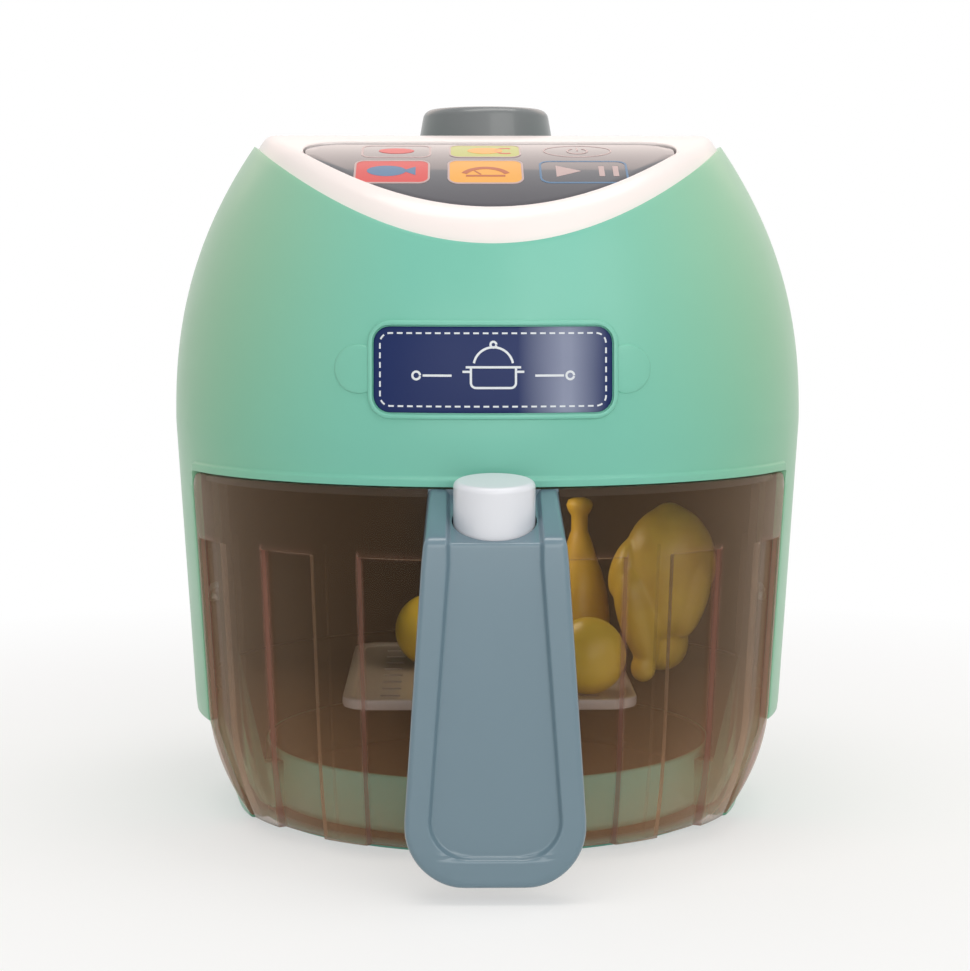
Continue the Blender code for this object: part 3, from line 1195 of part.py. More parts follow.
def build():
    for item in list(bpy.data.objects):
        bpy.data.objects.remove(item, do_unlink=True)
    mint = finish("mint_plastic", (0.22, 0.52, 0.35), 0.3)
    white = finish("white_plastic", (0.87, 0.79, 0.77), 0.35)
    dark = finish("panel_lens", (0.03, 0.025, 0.035), 0.08)
    navy = finish("badge_print", (0.012, 0.026, 0.115), 0.3)
    grey = finish("handle_plastic", (0.16, 0.24, 0.27), 0.3)
    stone = finish("cap_plastic", (0.17, 0.18, 0.17), 0.4)
    smoke = finish("smoked_plastic", (0.07, 0.045, 0.03), 0.08, alpha=0.5)
    pale = finish("rack_plastic", (0.52, 0.46, 0.42), 0.4)
    steel = finish("steel", (0.6, 0.6, 0.62), 0.3, 1.0)
    board = finish("board_green", (0.02, 0.16, 0.06), 0.5)
    black = finish("black_plastic", (0.03, 0.03, 0.03), 0.5)
    clear = finish("lamp_plastic", (0.75, 0.3, 0.12), 0.2, alpha=0.7)
    wrap = finish("cell_wrap", (0.05, 0.12, 0.3), 0.4)
    roast = finish("roast_plastic", (0.4, 0.24, 0.03), 0.4)
    yellow = finish("potato_plastic", (0.55, 0.33, 0.04), 0.4)

    front_shell(mint)
    rear_shell(mint)
    rear_deck(mint)
    base_pan(mint)
    chamber_ceiling(mint)
    lamp_lens(clear)
    speaker(black)
    top_bezel(white)
    control_panel(dark)
    circuit_board(board)
    badge_plate(navy)
    mist_well(white)
    mist_cap(stone)
    battery_box(black)
    for index in range(CELL_COUNT):
        battery(index, wrap)
    battery_door(mint)
    door_face = barrel_radius(DOOR_SCREW_Z - SCREW_HEAD_RADIUS)
    screw("door_screw", steel, (0, door_face + FIT, DOOR_SCREW_Z), (0, 1, 0), SCREW_GRIP)
    for name, x, z in boss_places():
        screw(f"shell_screw_{name}", steel, (x, BOSS_FLOOR + FIT, z), (0, 1, 0), SCREW_GRIP + BOSS_FLOOR / 2)

    drawer = carrier("drawer_runner", (0, 0, TRAY_FLOOR_Z))
    pieces = [drawer_window(smoke), drawer_tray(mint), grill_rack(pale), handle_shell(grey),
              handle_back(grey), roast_chicken(roast), drumstick(roast)]
    pieces += [potato(index, yellow) for index in range(len(POTATO_PLACE_SHARES))]
    seat = handle_screw_seat()
    for side_name, side in (("left", -1), ("right", 1)):
        place = (side * HANDLE_SCREW_X, -seat, HANDLE_SCREW_Z)
        pieces.append(screw(f"handle_screw_{side_name}", steel, place, (0, 1, 0), HANDLE_SCREW_REACH))
    carry(drawer, pieces)
    button_axis = carrier("button_axis", BUTTON_TOP)
    carry(button_axis, [release_button(white), button_spring(steel)])


build()
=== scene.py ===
"""Looks of the toy air fryer: mint barrel, smoked fluted drawer, glossy control top and play food."""
import json
import math

import bmesh
import bpy
import numpy as np
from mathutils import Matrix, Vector


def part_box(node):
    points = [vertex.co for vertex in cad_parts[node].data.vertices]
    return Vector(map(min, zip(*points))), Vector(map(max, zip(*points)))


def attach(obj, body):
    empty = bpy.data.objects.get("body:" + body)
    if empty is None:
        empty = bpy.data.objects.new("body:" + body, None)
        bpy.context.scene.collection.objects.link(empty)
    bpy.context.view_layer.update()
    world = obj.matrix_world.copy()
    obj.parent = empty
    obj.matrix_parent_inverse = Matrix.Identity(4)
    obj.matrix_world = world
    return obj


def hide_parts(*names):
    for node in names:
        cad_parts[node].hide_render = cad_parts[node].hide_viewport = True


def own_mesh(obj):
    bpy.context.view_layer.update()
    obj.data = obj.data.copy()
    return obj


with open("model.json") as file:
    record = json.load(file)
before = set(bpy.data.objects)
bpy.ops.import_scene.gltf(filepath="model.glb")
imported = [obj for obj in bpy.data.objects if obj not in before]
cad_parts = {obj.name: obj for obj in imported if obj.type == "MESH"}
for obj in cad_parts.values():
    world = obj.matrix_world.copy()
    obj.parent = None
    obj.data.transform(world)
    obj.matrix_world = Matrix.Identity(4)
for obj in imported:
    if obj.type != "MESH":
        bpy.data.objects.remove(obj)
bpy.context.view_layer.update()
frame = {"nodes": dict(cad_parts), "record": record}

MM = 0.001
TAU = 2 * math.pi
GAP = 0.3 * MM
# Points closer than MERGE become one, sides shorter than SLIVER go, and a rectangle's corner has at least
# the radius LEAST_CORNER
MERGE, SLIVER, LEAST_CORNER = 0.003 * MM, 0.002 * MM, 0.05 * MM
SETTLING_ROUNDS = 50

# Sizes of the housing, the window and the button: the CAD's own, but for the lens's rounder corners
BELLY_RADIUS, BELLY_Z = 86.6 * MM, 108 * MM
SHOULDER_RISE, SHOULDER_DRAW_IN, SHOULDER_POWER = 66 * MM, 16.6 * MM, 2.33
LOWER_TAPER, FOOT_RISE, FOOT_DRAW_IN = 0.06, 32 * MM, 10.5 * MM
WALL = 2.4 * MM
CREST_Z, CREST_RADIUS = 183 * MM, 126.473 * MM
RIM, BEZEL_PROUD, SEAT = 1.2 * MM, 3 * MM, 2 * MM
BEZEL_BACK = 9.6 * MM
OPENING_ANGLE, OPENING_TOP, OPENING_CORNER = math.radians(67.6), 96.2 * MM, 4.5 * MM
SKIRT_Z = 28 * MM
CEILING = 98.5 * MM
WINDOW_ANGLE = math.radians(67)
WINDOW_LOW, WINDOW_HIGH, WINDOW_WALL = 1.5 * MM, 95.7 * MM, 2.5 * MM
FLUTE_DEPTH, FLUTE_TOP = 2 * MM, 77.8 * MM
FLUTES = [tuple(math.radians(turn) for turn in pair) for pair in ((12.1, 23.3), (32.7, 44.0), (56.5, 65.8))]
BADGE_Z, BADGE_HALF_WIDTH, BADGE_HALF_HEIGHT, BADGE_CORNER = 124.7 * MM, 29.2 * MM, 10.45 * MM, 4 * MM
LENS_FRONT_BORDER, LENS_SIDE_BORDER, LENS_BACK, LENS_CORNER = 8 * MM, 5.5 * MM, -28 * MM, 13 * MM
CAP_Y, CAP_RADIUS, CAP_TOP_RADIUS = 31 * MM, 19.8 * MM, 17.8 * MM
COLLAR_RADIUS, COLLAR_TOP, CAP_TOP = 20.4 * MM, 182.7 * MM, 195.5 * MM
BUTTON_TILT, BUTTON_TOP = math.radians(7), (0.0, -98.4 * MM, 99 * MM)


# Mesh making

def full_turn(count):
    """Even angles of a whole turn."""
    return np.linspace(0, TAU, count, endpoint=False)


def points_at(x, y, z):
    """Points from x, y and z, each spread to the shape that they share."""
    return np.stack(np.broadcast_arrays(x, y, z), axis=-1)


def circle(turn):
    """Points at angles on a circle of radius 1 about the origin."""
    return np.stack([np.cos(turn), np.sin(turn)], -1)


def mesh_piece(name, points, faces, surface, angle=40):
    """A piece from points and faces: doubles merged, faces outwards, smooth below an angle in degrees."""
    mesh = bpy.data.meshes.new(name)
    mesh.from_pydata(np.asarray(points).reshape(-1, 3).tolist(), [], faces)
    mesh.materials.append(surface.material)
    skin = bmesh.new()
    skin.from_mesh(mesh)
    bmesh.ops.remove_doubles(skin, verts=skin.verts, dist=MERGE)
    bmesh.ops.dissolve_degenerate(skin, edges=skin.edges, dist=SLIVER)
    bmesh.ops.recalc_face_normals(skin, faces=skin.faces)
    skin.to_mesh(mesh)
    skin.free()
    mesh.shade_smooth()
    mesh.set_sharp_from_angle(angle=math.radians(angle))
    item = bpy.data.objects.new(name, mesh)
    bpy.context.scene.collection.objects.link(item)
    return item


def grid_faces(rows, columns, wrap_rows=False, wrap_columns=False, start=0):
    """Quads of a grid of points, row by row; a wrapped way joins its last line to its first."""
    row, column = np.meshgrid(np.arange(rows if wrap_rows else rows - 1),
                              np.arange(columns if wrap_columns else columns - 1), indexing="ij")
    here, above = row * columns, (row + 1) % rows * columns
    beside = (column + 1) % columns
    quads = np.stack([here + column, here + beside, above + beside, above + column], axis=-1)
    return (quads.reshape(-1, 4) + start).tolist()


def tube(name, loops, surface, wrap_rows=False, angle=40):
    """A closed skin through equal closed loops, with flat ends unless its rows wrap."""
    rows, columns = loops.shape[:2]
    faces = grid_faces(rows, columns, wrap_rows, True)
    if not wrap_rows:
        faces += [list(range(columns)), list(range((rows - 1) * columns, rows * columns))]
    return mesh_piece(name, loops, faces, surface, angle)


def joined(name, grids, surface, angle=40):
    """One piece from several closed grids of loops, each with its rows and columns wrapped."""
    points, faces, start = [], [], 0
    for loops in grids:
        faces += grid_faces(*loops.shape[:2], True, True, start)
        points.append(loops.reshape(-1, 3))
        start += len(points[-1])
    return mesh_piece(name, np.concatenate(points), faces, surface, angle)


def lathe(name, profile, surface, steps=96, foot=(0, 0, 0), tilt=0.0, angle=35):
    """A profile of (radius, height) turned about an axis through foot that leans towards -Y by tilt."""
    radius, height = np.asarray(profile).T
    turn = full_turn(steps)[:, None]
    points = leaned(radius * np.sin(turn), -radius * np.cos(turn), height, tilt) + np.array(foot)
    return mesh_piece(name, points, grid_faces(steps, len(profile), True, True), surface, angle)


def leaned(x, y, z, tilt):
    """Points turned about X, so that what stood along Z leans towards -Y by tilt."""
    return points_at(x, y * math.cos(tilt) - z * math.sin(tilt), y * math.sin(tilt) + z * math.cos(tilt))


def rounded(points, radii, steps=6):
    """A closed outline whose corners, by index, are arcs tangent to both sides, with even steps of turn."""
    points = np.asarray(points, float)
    outline = []
    for index, corner in enumerate(points):
        radius = radii.get(index, 0)
        if not radius:
            outline.append(corner[None, :])
            continue
        before, after = points[index - 1] - corner, points[(index + 1) % len(points)] - corner
        before, after = before / np.linalg.norm(before), after / np.linalg.norm(after)
        half = math.acos(np.clip(before @ after, -1, 1)) / 2
        middle = (before + after) / np.linalg.norm(before + after)
        centre = corner + middle * radius / math.sin(half)
        swing = (math.pi / 2 - half) * np.linspace(-1, 1, steps + 1)[:, None]
        across = np.array([middle[1], -middle[0]])
        across = across if across @ before < 0 else -across
        outline.append(centre - radius * (middle * np.cos(swing) - across * np.sin(swing)))
    return np.concatenate(outline)


def rectangle(half_width, half_height, corner, steps=6):
    """Rounded rectangle about the origin, as points (N, 2)."""
    ends = np.array([(-1, -1), (1, -1), (1, 1), (-1, 1)]) * (half_width, half_height)
    return rounded(ends, dict.fromkeys(range(4), max(corner, LEAST_CORNER)), steps)


def refined(outline, step):
    """The closed outline with points added so that no side is longer than step."""
    following = np.roll(outline, -1, axis=0)
    counts = np.maximum(np.ceil(np.linalg.norm(following - outline, axis=1) / step).astype(int), 1)
    sides = [first + (last - first) * np.linspace(0, 1, count, endpoint=False)[:, None]
             for first, last, count in zip(outline, following, counts)]
    return np.concatenate(sides)


def cut_away(item, name, tool):
    """Cut a piece by a tool, keep the result in its mesh and drop the tool."""
    step = item.modifiers.new(name, "BOOLEAN")
    step.operation, step.solver, step.object = "DIFFERENCE", "EXACT", tool
    settle(item)
    bpy.data.objects.remove(tool, do_unlink=True)


def settle(item, angle=40):
    """Apply a piece's modifiers to its mesh."""
    solved = bpy.data.meshes.new_from_object(item.evaluated_get(bpy.context.evaluated_depsgraph_get()))
    item.modifiers.clear()
    item.data = solved
    solved.shade_smooth()
    solved.set_sharp_from_angle(angle=math.radians(angle))


def finish_piece(item, body, nodes=()):
    """Say which body carries the piece, and hide the nodes that it stands for."""
    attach(item, body)
    if nodes:
        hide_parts(*nodes)


def paint(item, name, share):
    """Store a number at each point of a finished mesh, worked out from the point's x, y and z."""
    points = np.empty(len(item.data.vertices) * 3)
    item.data.vertices.foreach_get("co", points)
    values = np.asarray(share(*points.reshape(-1, 3).T), dtype=np.float32)
    item.data.attributes.new(name, "FLOAT", "POINT").data.foreach_set("value", values)


def thicken(item, wall, rounding=0.0):
    """Give a skin its wall inwards, and round the edges that this makes."""
    shell = item.modifiers.new("wall", "SOLIDIFY")
    shell.thickness, shell.offset, shell.use_even_offset = wall, -1, True
    if rounding:
        soften(item, rounding)


def soften(item, width, angle=50):
    """Round the edges that turn by more than an angle in degrees."""
    edge = item.modifiers.new("edge", "BEVEL")
    edge.width, edge.segments, edge.limit_method = width, 2, "ANGLE"
    edge.angle_limit = math.radians(angle)


# Barrel shapes

def barrel(z):
    """Radius at a height: belly minus a power curve above it, minus a taper and a foot curve below it."""
    z = np.asarray(z, float)
    rise = np.clip(z - BELLY_Z, 0, None) / SHOULDER_RISE
    foot = np.clip(FOOT_RISE - z, 0, None) / FOOT_RISE
    taper = LOWER_TAPER * np.clip(BELLY_Z - z, 0, None)
    return BELLY_RADIUS - SHOULDER_DRAW_IN * rise ** SHOULDER_POWER - taper - FOOT_DRAW_IN * foot ** 2


def crest(y, raised=0.0):
    """Height of the sliced top at a depth: a circle's arc about an axis along X, raised along its radius."""
    return CREST_Z - CREST_RADIUS + np.sqrt((CREST_RADIUS + raised) ** 2 - np.asarray(y) ** 2)


def rim(azimuth, inset=0.0, raised=0.0):
    """Plan radius where the barrel, drawn in by inset, meets the raised sliced top: settled by averaging."""
    azimuth = np.asarray(azimuth, float)
    radius = np.full_like(azimuth, BELLY_RADIUS)
    for _ in range(SETTLING_ROUNDS):
        radius = (radius + barrel(crest(radius * np.cos(azimuth), raised)) - inset) / 2
    return radius


def polar(azimuth, radius, z):
    """Points from an azimuth measured at the front, a radius and a height."""
    return points_at(radius * np.sin(azimuth), -radius * np.cos(azimuth), z)


def on_barrel(side, z_middle=0.0):
    """A lift for plates on the barrel's front (side -1) or rear (side 1): x, height and outset to a point."""
    def lift(x, z, outset):
        z = z + z_middle
        return points_at(x, side * np.sqrt((barrel(z) + outset) ** 2 - x ** 2), z)
    return lift


def on_crest(x, y, raised):
    """A lift for plates on the sliced top."""
    return points_at(x, y, crest(y, raised))


def corner_drop(azimuth, half_angle, corner=OPENING_CORNER):
    """Drop of the opening's top edge in its round corners: a quarter circle within the corner's width."""
    inside = np.clip(corner - (half_angle - np.abs(azimuth)) * BELLY_RADIUS, 0, corner)
    return corner - np.sqrt(corner ** 2 - inside ** 2)


def corner_columns(half_angle, count=9, corner=OPENING_CORNER):
    """Azimuths that run evenly through a round corner, up to its end."""
    turn = np.linspace(0, math.pi / 2, count)
    return half_angle - corner / BELLY_RADIUS * (1 - np.sin(turn))


def smoothstep(value):
    """0 below 0, 1 above 1, and 3v² - 2v³ between."""
    value = np.clip(value, 0, 1)
    return value * value * (3 - 2 * value)


# Materials

def arithmetic(operation, swapped=False):
    """A method of a Value that adds a Math node of an operation, with its two numbers swapped or not."""
    def method(self, other=None):
        return self._math(operation, other, self) if swapped else self._math(operation, self, other)
    return method


class Value:
    """A number in a node tree: sums, products and powers of values add Math nodes."""

    def __init__(self, tree, socket):
        self.tree, self.socket = tree, socket

    def _math(self, operation, first, second=None):
        node = self.tree.nodes.new("ShaderNodeMath")
        node.operation = operation
        for slot, value in zip(node.inputs, (first, second)):
            if isinstance(value, Value):
                self.tree.links.new(value.socket, slot)
            elif value is not None:
                slot.default_value = value
        return Value(self.tree, node.outputs[0])

    __add__, __radd__ = arithmetic("ADD"), arithmetic("ADD", True)
    __sub__, __rsub__ = arithmetic("SUBTRACT"), arithmetic("SUBTRACT", True)
    __mul__, __rmul__ = arithmetic("MULTIPLY"), arithmetic("MULTIPLY", True)
    __pow__, __abs__ = arithmetic("POWER"), arithmetic("ABSOLUTE")

    def between(self, low, high):
        """0 below low, 1 above high and straight between."""
        return self._math("MINIMUM", self._math("MAXIMUM", (self - low) * (1 / (high - low)), 0.0), 1.0)


class Surface:
    """A material: a Principled shader, with plain numbers on its sockets and nodes made on demand."""

    def __init__(self, name, colour, **numbers):
        self.material = bpy.data.materials.new(name)
        self.material.use_nodes = True
        self.tree = self.material.node_tree
        self.shader = self.tree.nodes["Principled BSDF"]
        self.shader.inputs["Base Color"].default_value = (*colour, 1)
        for key, number in numbers.items():
            self.shader.inputs[key.replace("_", " ").title().replace("Ior", "IOR")].default_value = number

    def node(self, kind, settings=None, sockets=None, output=0):
        """A node of a kind; settings are set first, then values or links go to its sockets."""
        node = self.tree.nodes.new(kind)
        for key, setting in (settings or {}).items():
            if key == "stops":
                self.set_stops(node.color_ramp, setting)
            else:
                setattr(node, key, setting)
        for key, value in (sockets or {}).items():
            self.feed(node.inputs[key], value)
        return Value(self.tree, node.outputs[output])

    def set_stops(self, ramp, stops):
        while len(ramp.elements) < len(stops):
            ramp.elements.new(0.5)
        for element, (place, colour) in zip(ramp.elements, stops):
            element.position = place
            element.color = (*colour, 1)

    def feed(self, socket, value):
        if isinstance(value, Value):
            self.tree.links.new(value.socket, socket)
        else:
            socket.default_value = value

    def set(self, name, value):
        self.feed(self.shader.inputs[name], value)

    def place(self):
        return self.node("ShaderNodeTexCoord", output=3)

    def axis(self, place, index):
        return self.node("ShaderNodeSeparateXYZ", sockets={0: place}, output=index)

    def noise(self, scale, detail, place):
        return self.node("ShaderNodeTexNoise", sockets={"Vector": place, "Scale": scale, "Detail": detail})

    def attribute(self, name):
        """A number that the piece's points carry."""
        return self.node("ShaderNodeAttribute", {"attribute_name": name}, output=2)

    def blend(self, factor, first, second):
        """Colour between two colours by a factor."""
        def full(colour):
            return colour if isinstance(colour, Value) else (*colour, 1)
        return self.node("ShaderNodeMix", {"data_type": "RGBA"},
                         {0: factor, 6: full(first), 7: full(second)}, output=2)

    def bump(self, height, strength, distance):
        self.set("Normal", self.node("ShaderNodeBump", sockets={"Height": height, "Strength": strength,
                                                                "Distance": distance}))


def orange_peel(surface, place):
    """The fine unevenness that a mould leaves on plastic."""
    surface.bump(surface.noise(900.0, 2.0, place), 0.02, 0.1 * MM)


def moulded(name, colour, roughness, mottle=0.04, coat=0.3):
    """Injection-moulded plastic: faint clouding of the colour, uneven gloss and a fine orange peel."""
    surface = Surface(name, colour, coat_weight=coat, coat_roughness=0.12, ior=1.46)
    place = surface.place()
    cloud = surface.noise(18.0, 4.0, place)
    dark = tuple(part * (1 - mottle) for part in colour)
    light = tuple(min(part * (1 + mottle), 1.0) for part in colour)
    surface.set("Base Color", surface.blend(cloud, dark, light))
    smear = surface.noise(45.0, 5.0, place)
    surface.set("Roughness", roughness + (smear - 0.5) * 0.08)
    orange_peel(surface, place)
    return surface


def mint():
    """Mint plastic with uneven gloss, its colour painted yellower towards the sides and paler high on them:
    painted light and reflection of the room.

    The piece's own attribute darkens it to a brown where it faces the cooking chamber: painted shade of the
    chamber's inside.
    """
    surface = Surface("mint_plastic", (0.18, 0.52, 0.41), coat_weight=0.1, coat_roughness=0.14, ior=1.42)
    place = surface.place()
    # Painted light: the colour turns yellower towards the sides, where the room's light and reflection fall.
    aside = abs(surface.axis(place, 0)).between(0.03, 0.09)
    cloud = surface.noise(14.0, 4.0, place)
    middle = surface.blend(cloud, (0.165, 0.5, 0.385), (0.185, 0.525, 0.41))
    sides = surface.blend(cloud, (0.225, 0.475, 0.255), (0.25, 0.505, 0.28))
    shell = surface.blend(aside ** 1.6, middle, sides)
    # Painted highlight: a paler colour high on the shoulders, where the room's light is reflected.
    high = surface.axis(place, 2).between(0.105, 0.18) * abs(surface.axis(place, 0)).between(0.02, 0.09)
    shell = surface.blend(high, shell, (0.36, 0.56, 0.34))
    # Painted shade: a dark brown where the piece faces the cooking chamber, standing for the chamber's shade.
    soot = surface.attribute("soot")
    surface.set("Base Color", surface.blend(soot, shell, (0.05, 0.036, 0.022)))
    smear = surface.noise(38.0, 5.0, place)
    surface.set("Roughness", 0.33 + (smear - 0.5) * 0.12)
    orange_peel(surface, place)
    return surface


def smoked():
    """Clear smoked plastic: brown with faint swirls, denser where seen edge-on, with a painted sheen there
    and painted light that warms and pales it towards its foot.

    The piece's own attributes are "line", which reddens the flutes' walls, and "lining", which thins the
    colour of the inner skin so that the outer one carries it.
    """
    surface = Surface("smoked_plastic", (0.09, 0.055, 0.03), roughness=0.1, ior=1.25)
    place = surface.place()
    swirl = surface.noise(12.0, 3.0, place)
    edge_on = surface.node("ShaderNodeLayerWeight", sockets={"Blend": 0.5}, output=1)
    # Painted light: the brown turns far paler and warmer towards the foot, where light reaches the plastic.
    foot = 1 - surface.axis(place, 2).between(0.008, 0.05)
    high = surface.blend(swirl, (0.07, 0.038, 0.018), (0.1, 0.056, 0.028))
    painted_foot_light = surface.blend(foot, high, (0.46, 0.24, 0.115))
    line = surface.attribute("line")
    lining = surface.attribute("lining")
    # Painted sheen: the colour turns a paler brown where the plastic is seen edge-on.
    sheen = surface.blend(edge_on ** 1.3, painted_foot_light, (0.5, 0.34, 0.22))
    surface.set("Base Color", surface.blend(line, sheen, (0.4, 0.2, 0.15)))
    dense = 0.36 + (swirl - 0.5) * 0.08 + edge_on ** 2.0 * 0.45 + line * 0.3
    surface.set("Alpha", dense.between(0.0, 1.0) * (1 - lining * 0.85))
    return surface


def food(name, base, tone, roughness):
    """Play food: moulded in one colour, toned in patches by another one, with a finely uneven skin."""
    surface = Surface(name, base, coat_weight=0.25, coat_roughness=0.2, ior=1.45)
    place = surface.place()
    patch = surface.noise(48.0, 5.0, place)
    mask = surface.node("ShaderNodeValToRGB", {"stops": ((0.42, (0, 0, 0)), (0.72, (1, 1, 1)))}, {0: patch})
    surface.set("Base Color", surface.blend(mask, base, tone))
    surface.set("Roughness", roughness + (patch - 0.5) * 0.2)
    surface.bump(surface.noise(320.0, 4.0, place), 0.2, 0.3 * MM)
    return surface


def glossy_lens():
    """Near-black gloss with a faint purple cast, clouded a little, and smears in the shine."""
    surface = Surface("panel_lens", (0.016, 0.011, 0.022), coat_weight=0.8, coat_roughness=0.03, ior=1.5)
    place = surface.place()
    cloud = surface.noise(25.0, 3.0, place)
    surface.set("Base Color", surface.blend(cloud, (0.013, 0.009, 0.018), (0.022, 0.015, 0.03)))
    surface.set("Roughness", 0.09 + surface.noise(60.0, 5.0, place) * 0.07)
    return surface


def steel():
    """Zinc-plated steel with fine turning marks."""
    surface = Surface("steel", (0.6, 0.6, 0.62), metallic=1.0)
    marks = surface.noise(700.0, 2.0, surface.place())
    surface.set("Roughness", 0.25 + marks * 0.2)
    surface.bump(marks, 0.1, 0.05 * MM)
    return surface


def badge_sheet():
    """Navy printed sheet, with a painted reflection: a paler streak runs up one side."""
    surface = Surface("badge_print", (0.006, 0.018, 0.09), ior=1.3)
    place = surface.place()
    cloud = surface.noise(22.0, 3.0, place)
    across = surface.axis(place, 0)
    # Painted reflection: a pale blue-white streak up one side, fixed on the sheet.
    painted_reflection = across.between(0.006, 0.017) * (1 - across.between(0.019, 0.028)) * (0.25 + cloud * 0.3)
    ink = surface.blend(cloud, (0.005, 0.016, 0.085), (0.008, 0.022, 0.11))
    surface.set("Base Color", surface.blend(painted_reflection, ink, (0.62, 0.68, 0.84)))
    surface.set("Roughness", 0.3 + surface.noise(80.0, 4.0, place) * 0.1)
    surface.bump(surface.noise(1200.0, 2.0, place), 0.02, 0.05 * MM)
    return surface


MINT = mint()
CREAM = moulded("white_plastic", (0.88, 0.8, 0.78), 0.36, mottle=0.015)
FROST = moulded("button_white", (0.72, 0.74, 0.79), 0.3, mottle=0.015)
SLATE = moulded("handle_plastic", (0.128, 0.203, 0.25), 0.3, coat=0.5)
STONE = moulded("cap_plastic", (0.142, 0.156, 0.16), 0.36, coat=0.4)
PALE = moulded("rack_plastic", (0.54, 0.46, 0.43), 0.35)
BLACK = moulded("black_plastic", (0.025, 0.025, 0.027), 0.5)
AMBER = moulded("lamp_plastic", (0.75, 0.3, 0.1), 0.25)
SLEEVE = moulded("cell_wrap", (0.04, 0.1, 0.26), 0.35)
BOARD = moulded("board_green", (0.02, 0.15, 0.06), 0.45)
NAVY = badge_sheet()
SMOKE = smoked()
ROAST = food("roast_plastic", (0.84, 0.54, 0.06), (0.56, 0.3, 0.03), 0.4)
YOLK = food("potato_plastic", (0.97, 0.66, 0.07), (0.9, 0.55, 0.05), 0.36)
LENS = glossy_lens()
STEEL = steel()
INK_WHITE = moulded("ink_white", (0.68, 0.72, 0.76), 0.5, coat=0.1)
INKS = {name: moulded(f"ink_{name}", colour, 0.4) for name, colour in (
    ("red", (0.62, 0.045, 0.04)), ("orange", (0.8, 0.36, 0.03)), ("blue", (0.06, 0.16, 0.3)),
    ("pink", (0.5, 0.36, 0.35)), ("lime", (0.46, 0.48, 0.1)), ("rust", (0.45, 0.1, 0.02)))}
BY_SLOT = {"mint_plastic": MINT, "white_plastic": CREAM, "panel_lens": LENS, "badge_print": NAVY,
           "handle_plastic": SLATE, "cap_plastic": STONE, "smoked_plastic": SMOKE, "rack_plastic": PALE,
           "steel": STEEL, "board_green": BOARD, "black_plastic": BLACK, "lamp_plastic": AMBER,
           "cell_wrap": SLEEVE, "roast_plastic": ROAST, "potato_plastic": YOLK}


def dress_nodes():
    """Give every CAD node the finish of its slot."""
    for entry in frame["record"]["subparts"]:
        mesh = frame["nodes"][entry["node"]].data
        mesh.materials.clear()
        mesh.materials.append(BY_SLOT[entry["material_slot"]].material)


# Stage

# Camera in the photograph's pixels, and its place in the object's frame
PICTURE_PX = 971
CAMERA_FOCAL_PX = 2250
SENSOR_WIDTH = 36
CAMERA_DISTANCE, CAMERA_Z, CAMERA_X = 631 * MM, 146.7 * MM, -10.6 * MM
CAMERA_PITCH, CAMERA_YAW = math.radians(5.25), math.radians(-0.9)
FLOOR_REACH, ROOM_LEVEL = 4.0, 0.36
# Each lamp: its place, what it points at, its width and height in metres, its power and its colour
LAMPS = {"key_lamp": ((0.75, -1.25, 0.85), (0, 0, 0.1), (1.2, 1.0), 6.6, (1.0, 0.985, 0.96)),
         "front_lamp": ((-0.1, -1.6, 0.4), (0, 0, 0.06), (1.4, 0.7), 6.2, (1.0, 0.99, 0.97)),
         "top_lamp": ((0.05, -0.12, 1.3), (0, 0, 0.1), (1.3, 0.5), 8.0, (1.0, 0.96, 0.92)),
         "wall_lamp": ((0, 1.2, 0.96), (0, 0, 0.18), (2.4, 0.68), 2.8, (1.0, 0.68, 0.54)),
         "chamber_lamp": ((0, -0.012, 0.093), (0, -0.012, 0), (0.03, 0.03), 0.016, (1.0, 0.82, 0.58))}


def seen_directly(tree):
    """1 for rays from the camera and for what gloss or clear plastic shows, 0 for the light on the object."""
    rays = tree.nodes.new("ShaderNodeLightPath")
    camera, gloss, clear = (Value(tree, rays.outputs[f"Is {kind} Ray"])
                            for kind in ("Camera", "Glossy", "Transmission"))
    return (camera + gloss + clear).between(0.0, 1.0)


def floor_paint():
    """White paint that keeps the object's shadow near it and fades into the white room with distance."""
    paint = Surface("floor_paint", (0.86, 0.86, 0.85), roughness=0.75)
    place = paint.place()
    away = paint.node("ShaderNodeVectorMath", {"operation": "LENGTH"}, {0: place}, output=1)
    seen = seen_directly(paint.tree)
    glow = paint.node("ShaderNodeEmission", sockets={"Color": (1, 1, 1, 1), "Strength": 1.0})
    mix = paint.node("ShaderNodeMixShader", sockets={0: seen * (0.5 + away.between(0.1, 0.4) * 0.5)})
    inputs = mix.socket.node.inputs
    paint.tree.links.new(paint.shader.outputs[0], inputs[1])
    paint.tree.links.new(glow.socket, inputs[2])
    paint.tree.links.new(mix.socket, paint.tree.nodes["Material Output"].inputs[0])
    return paint


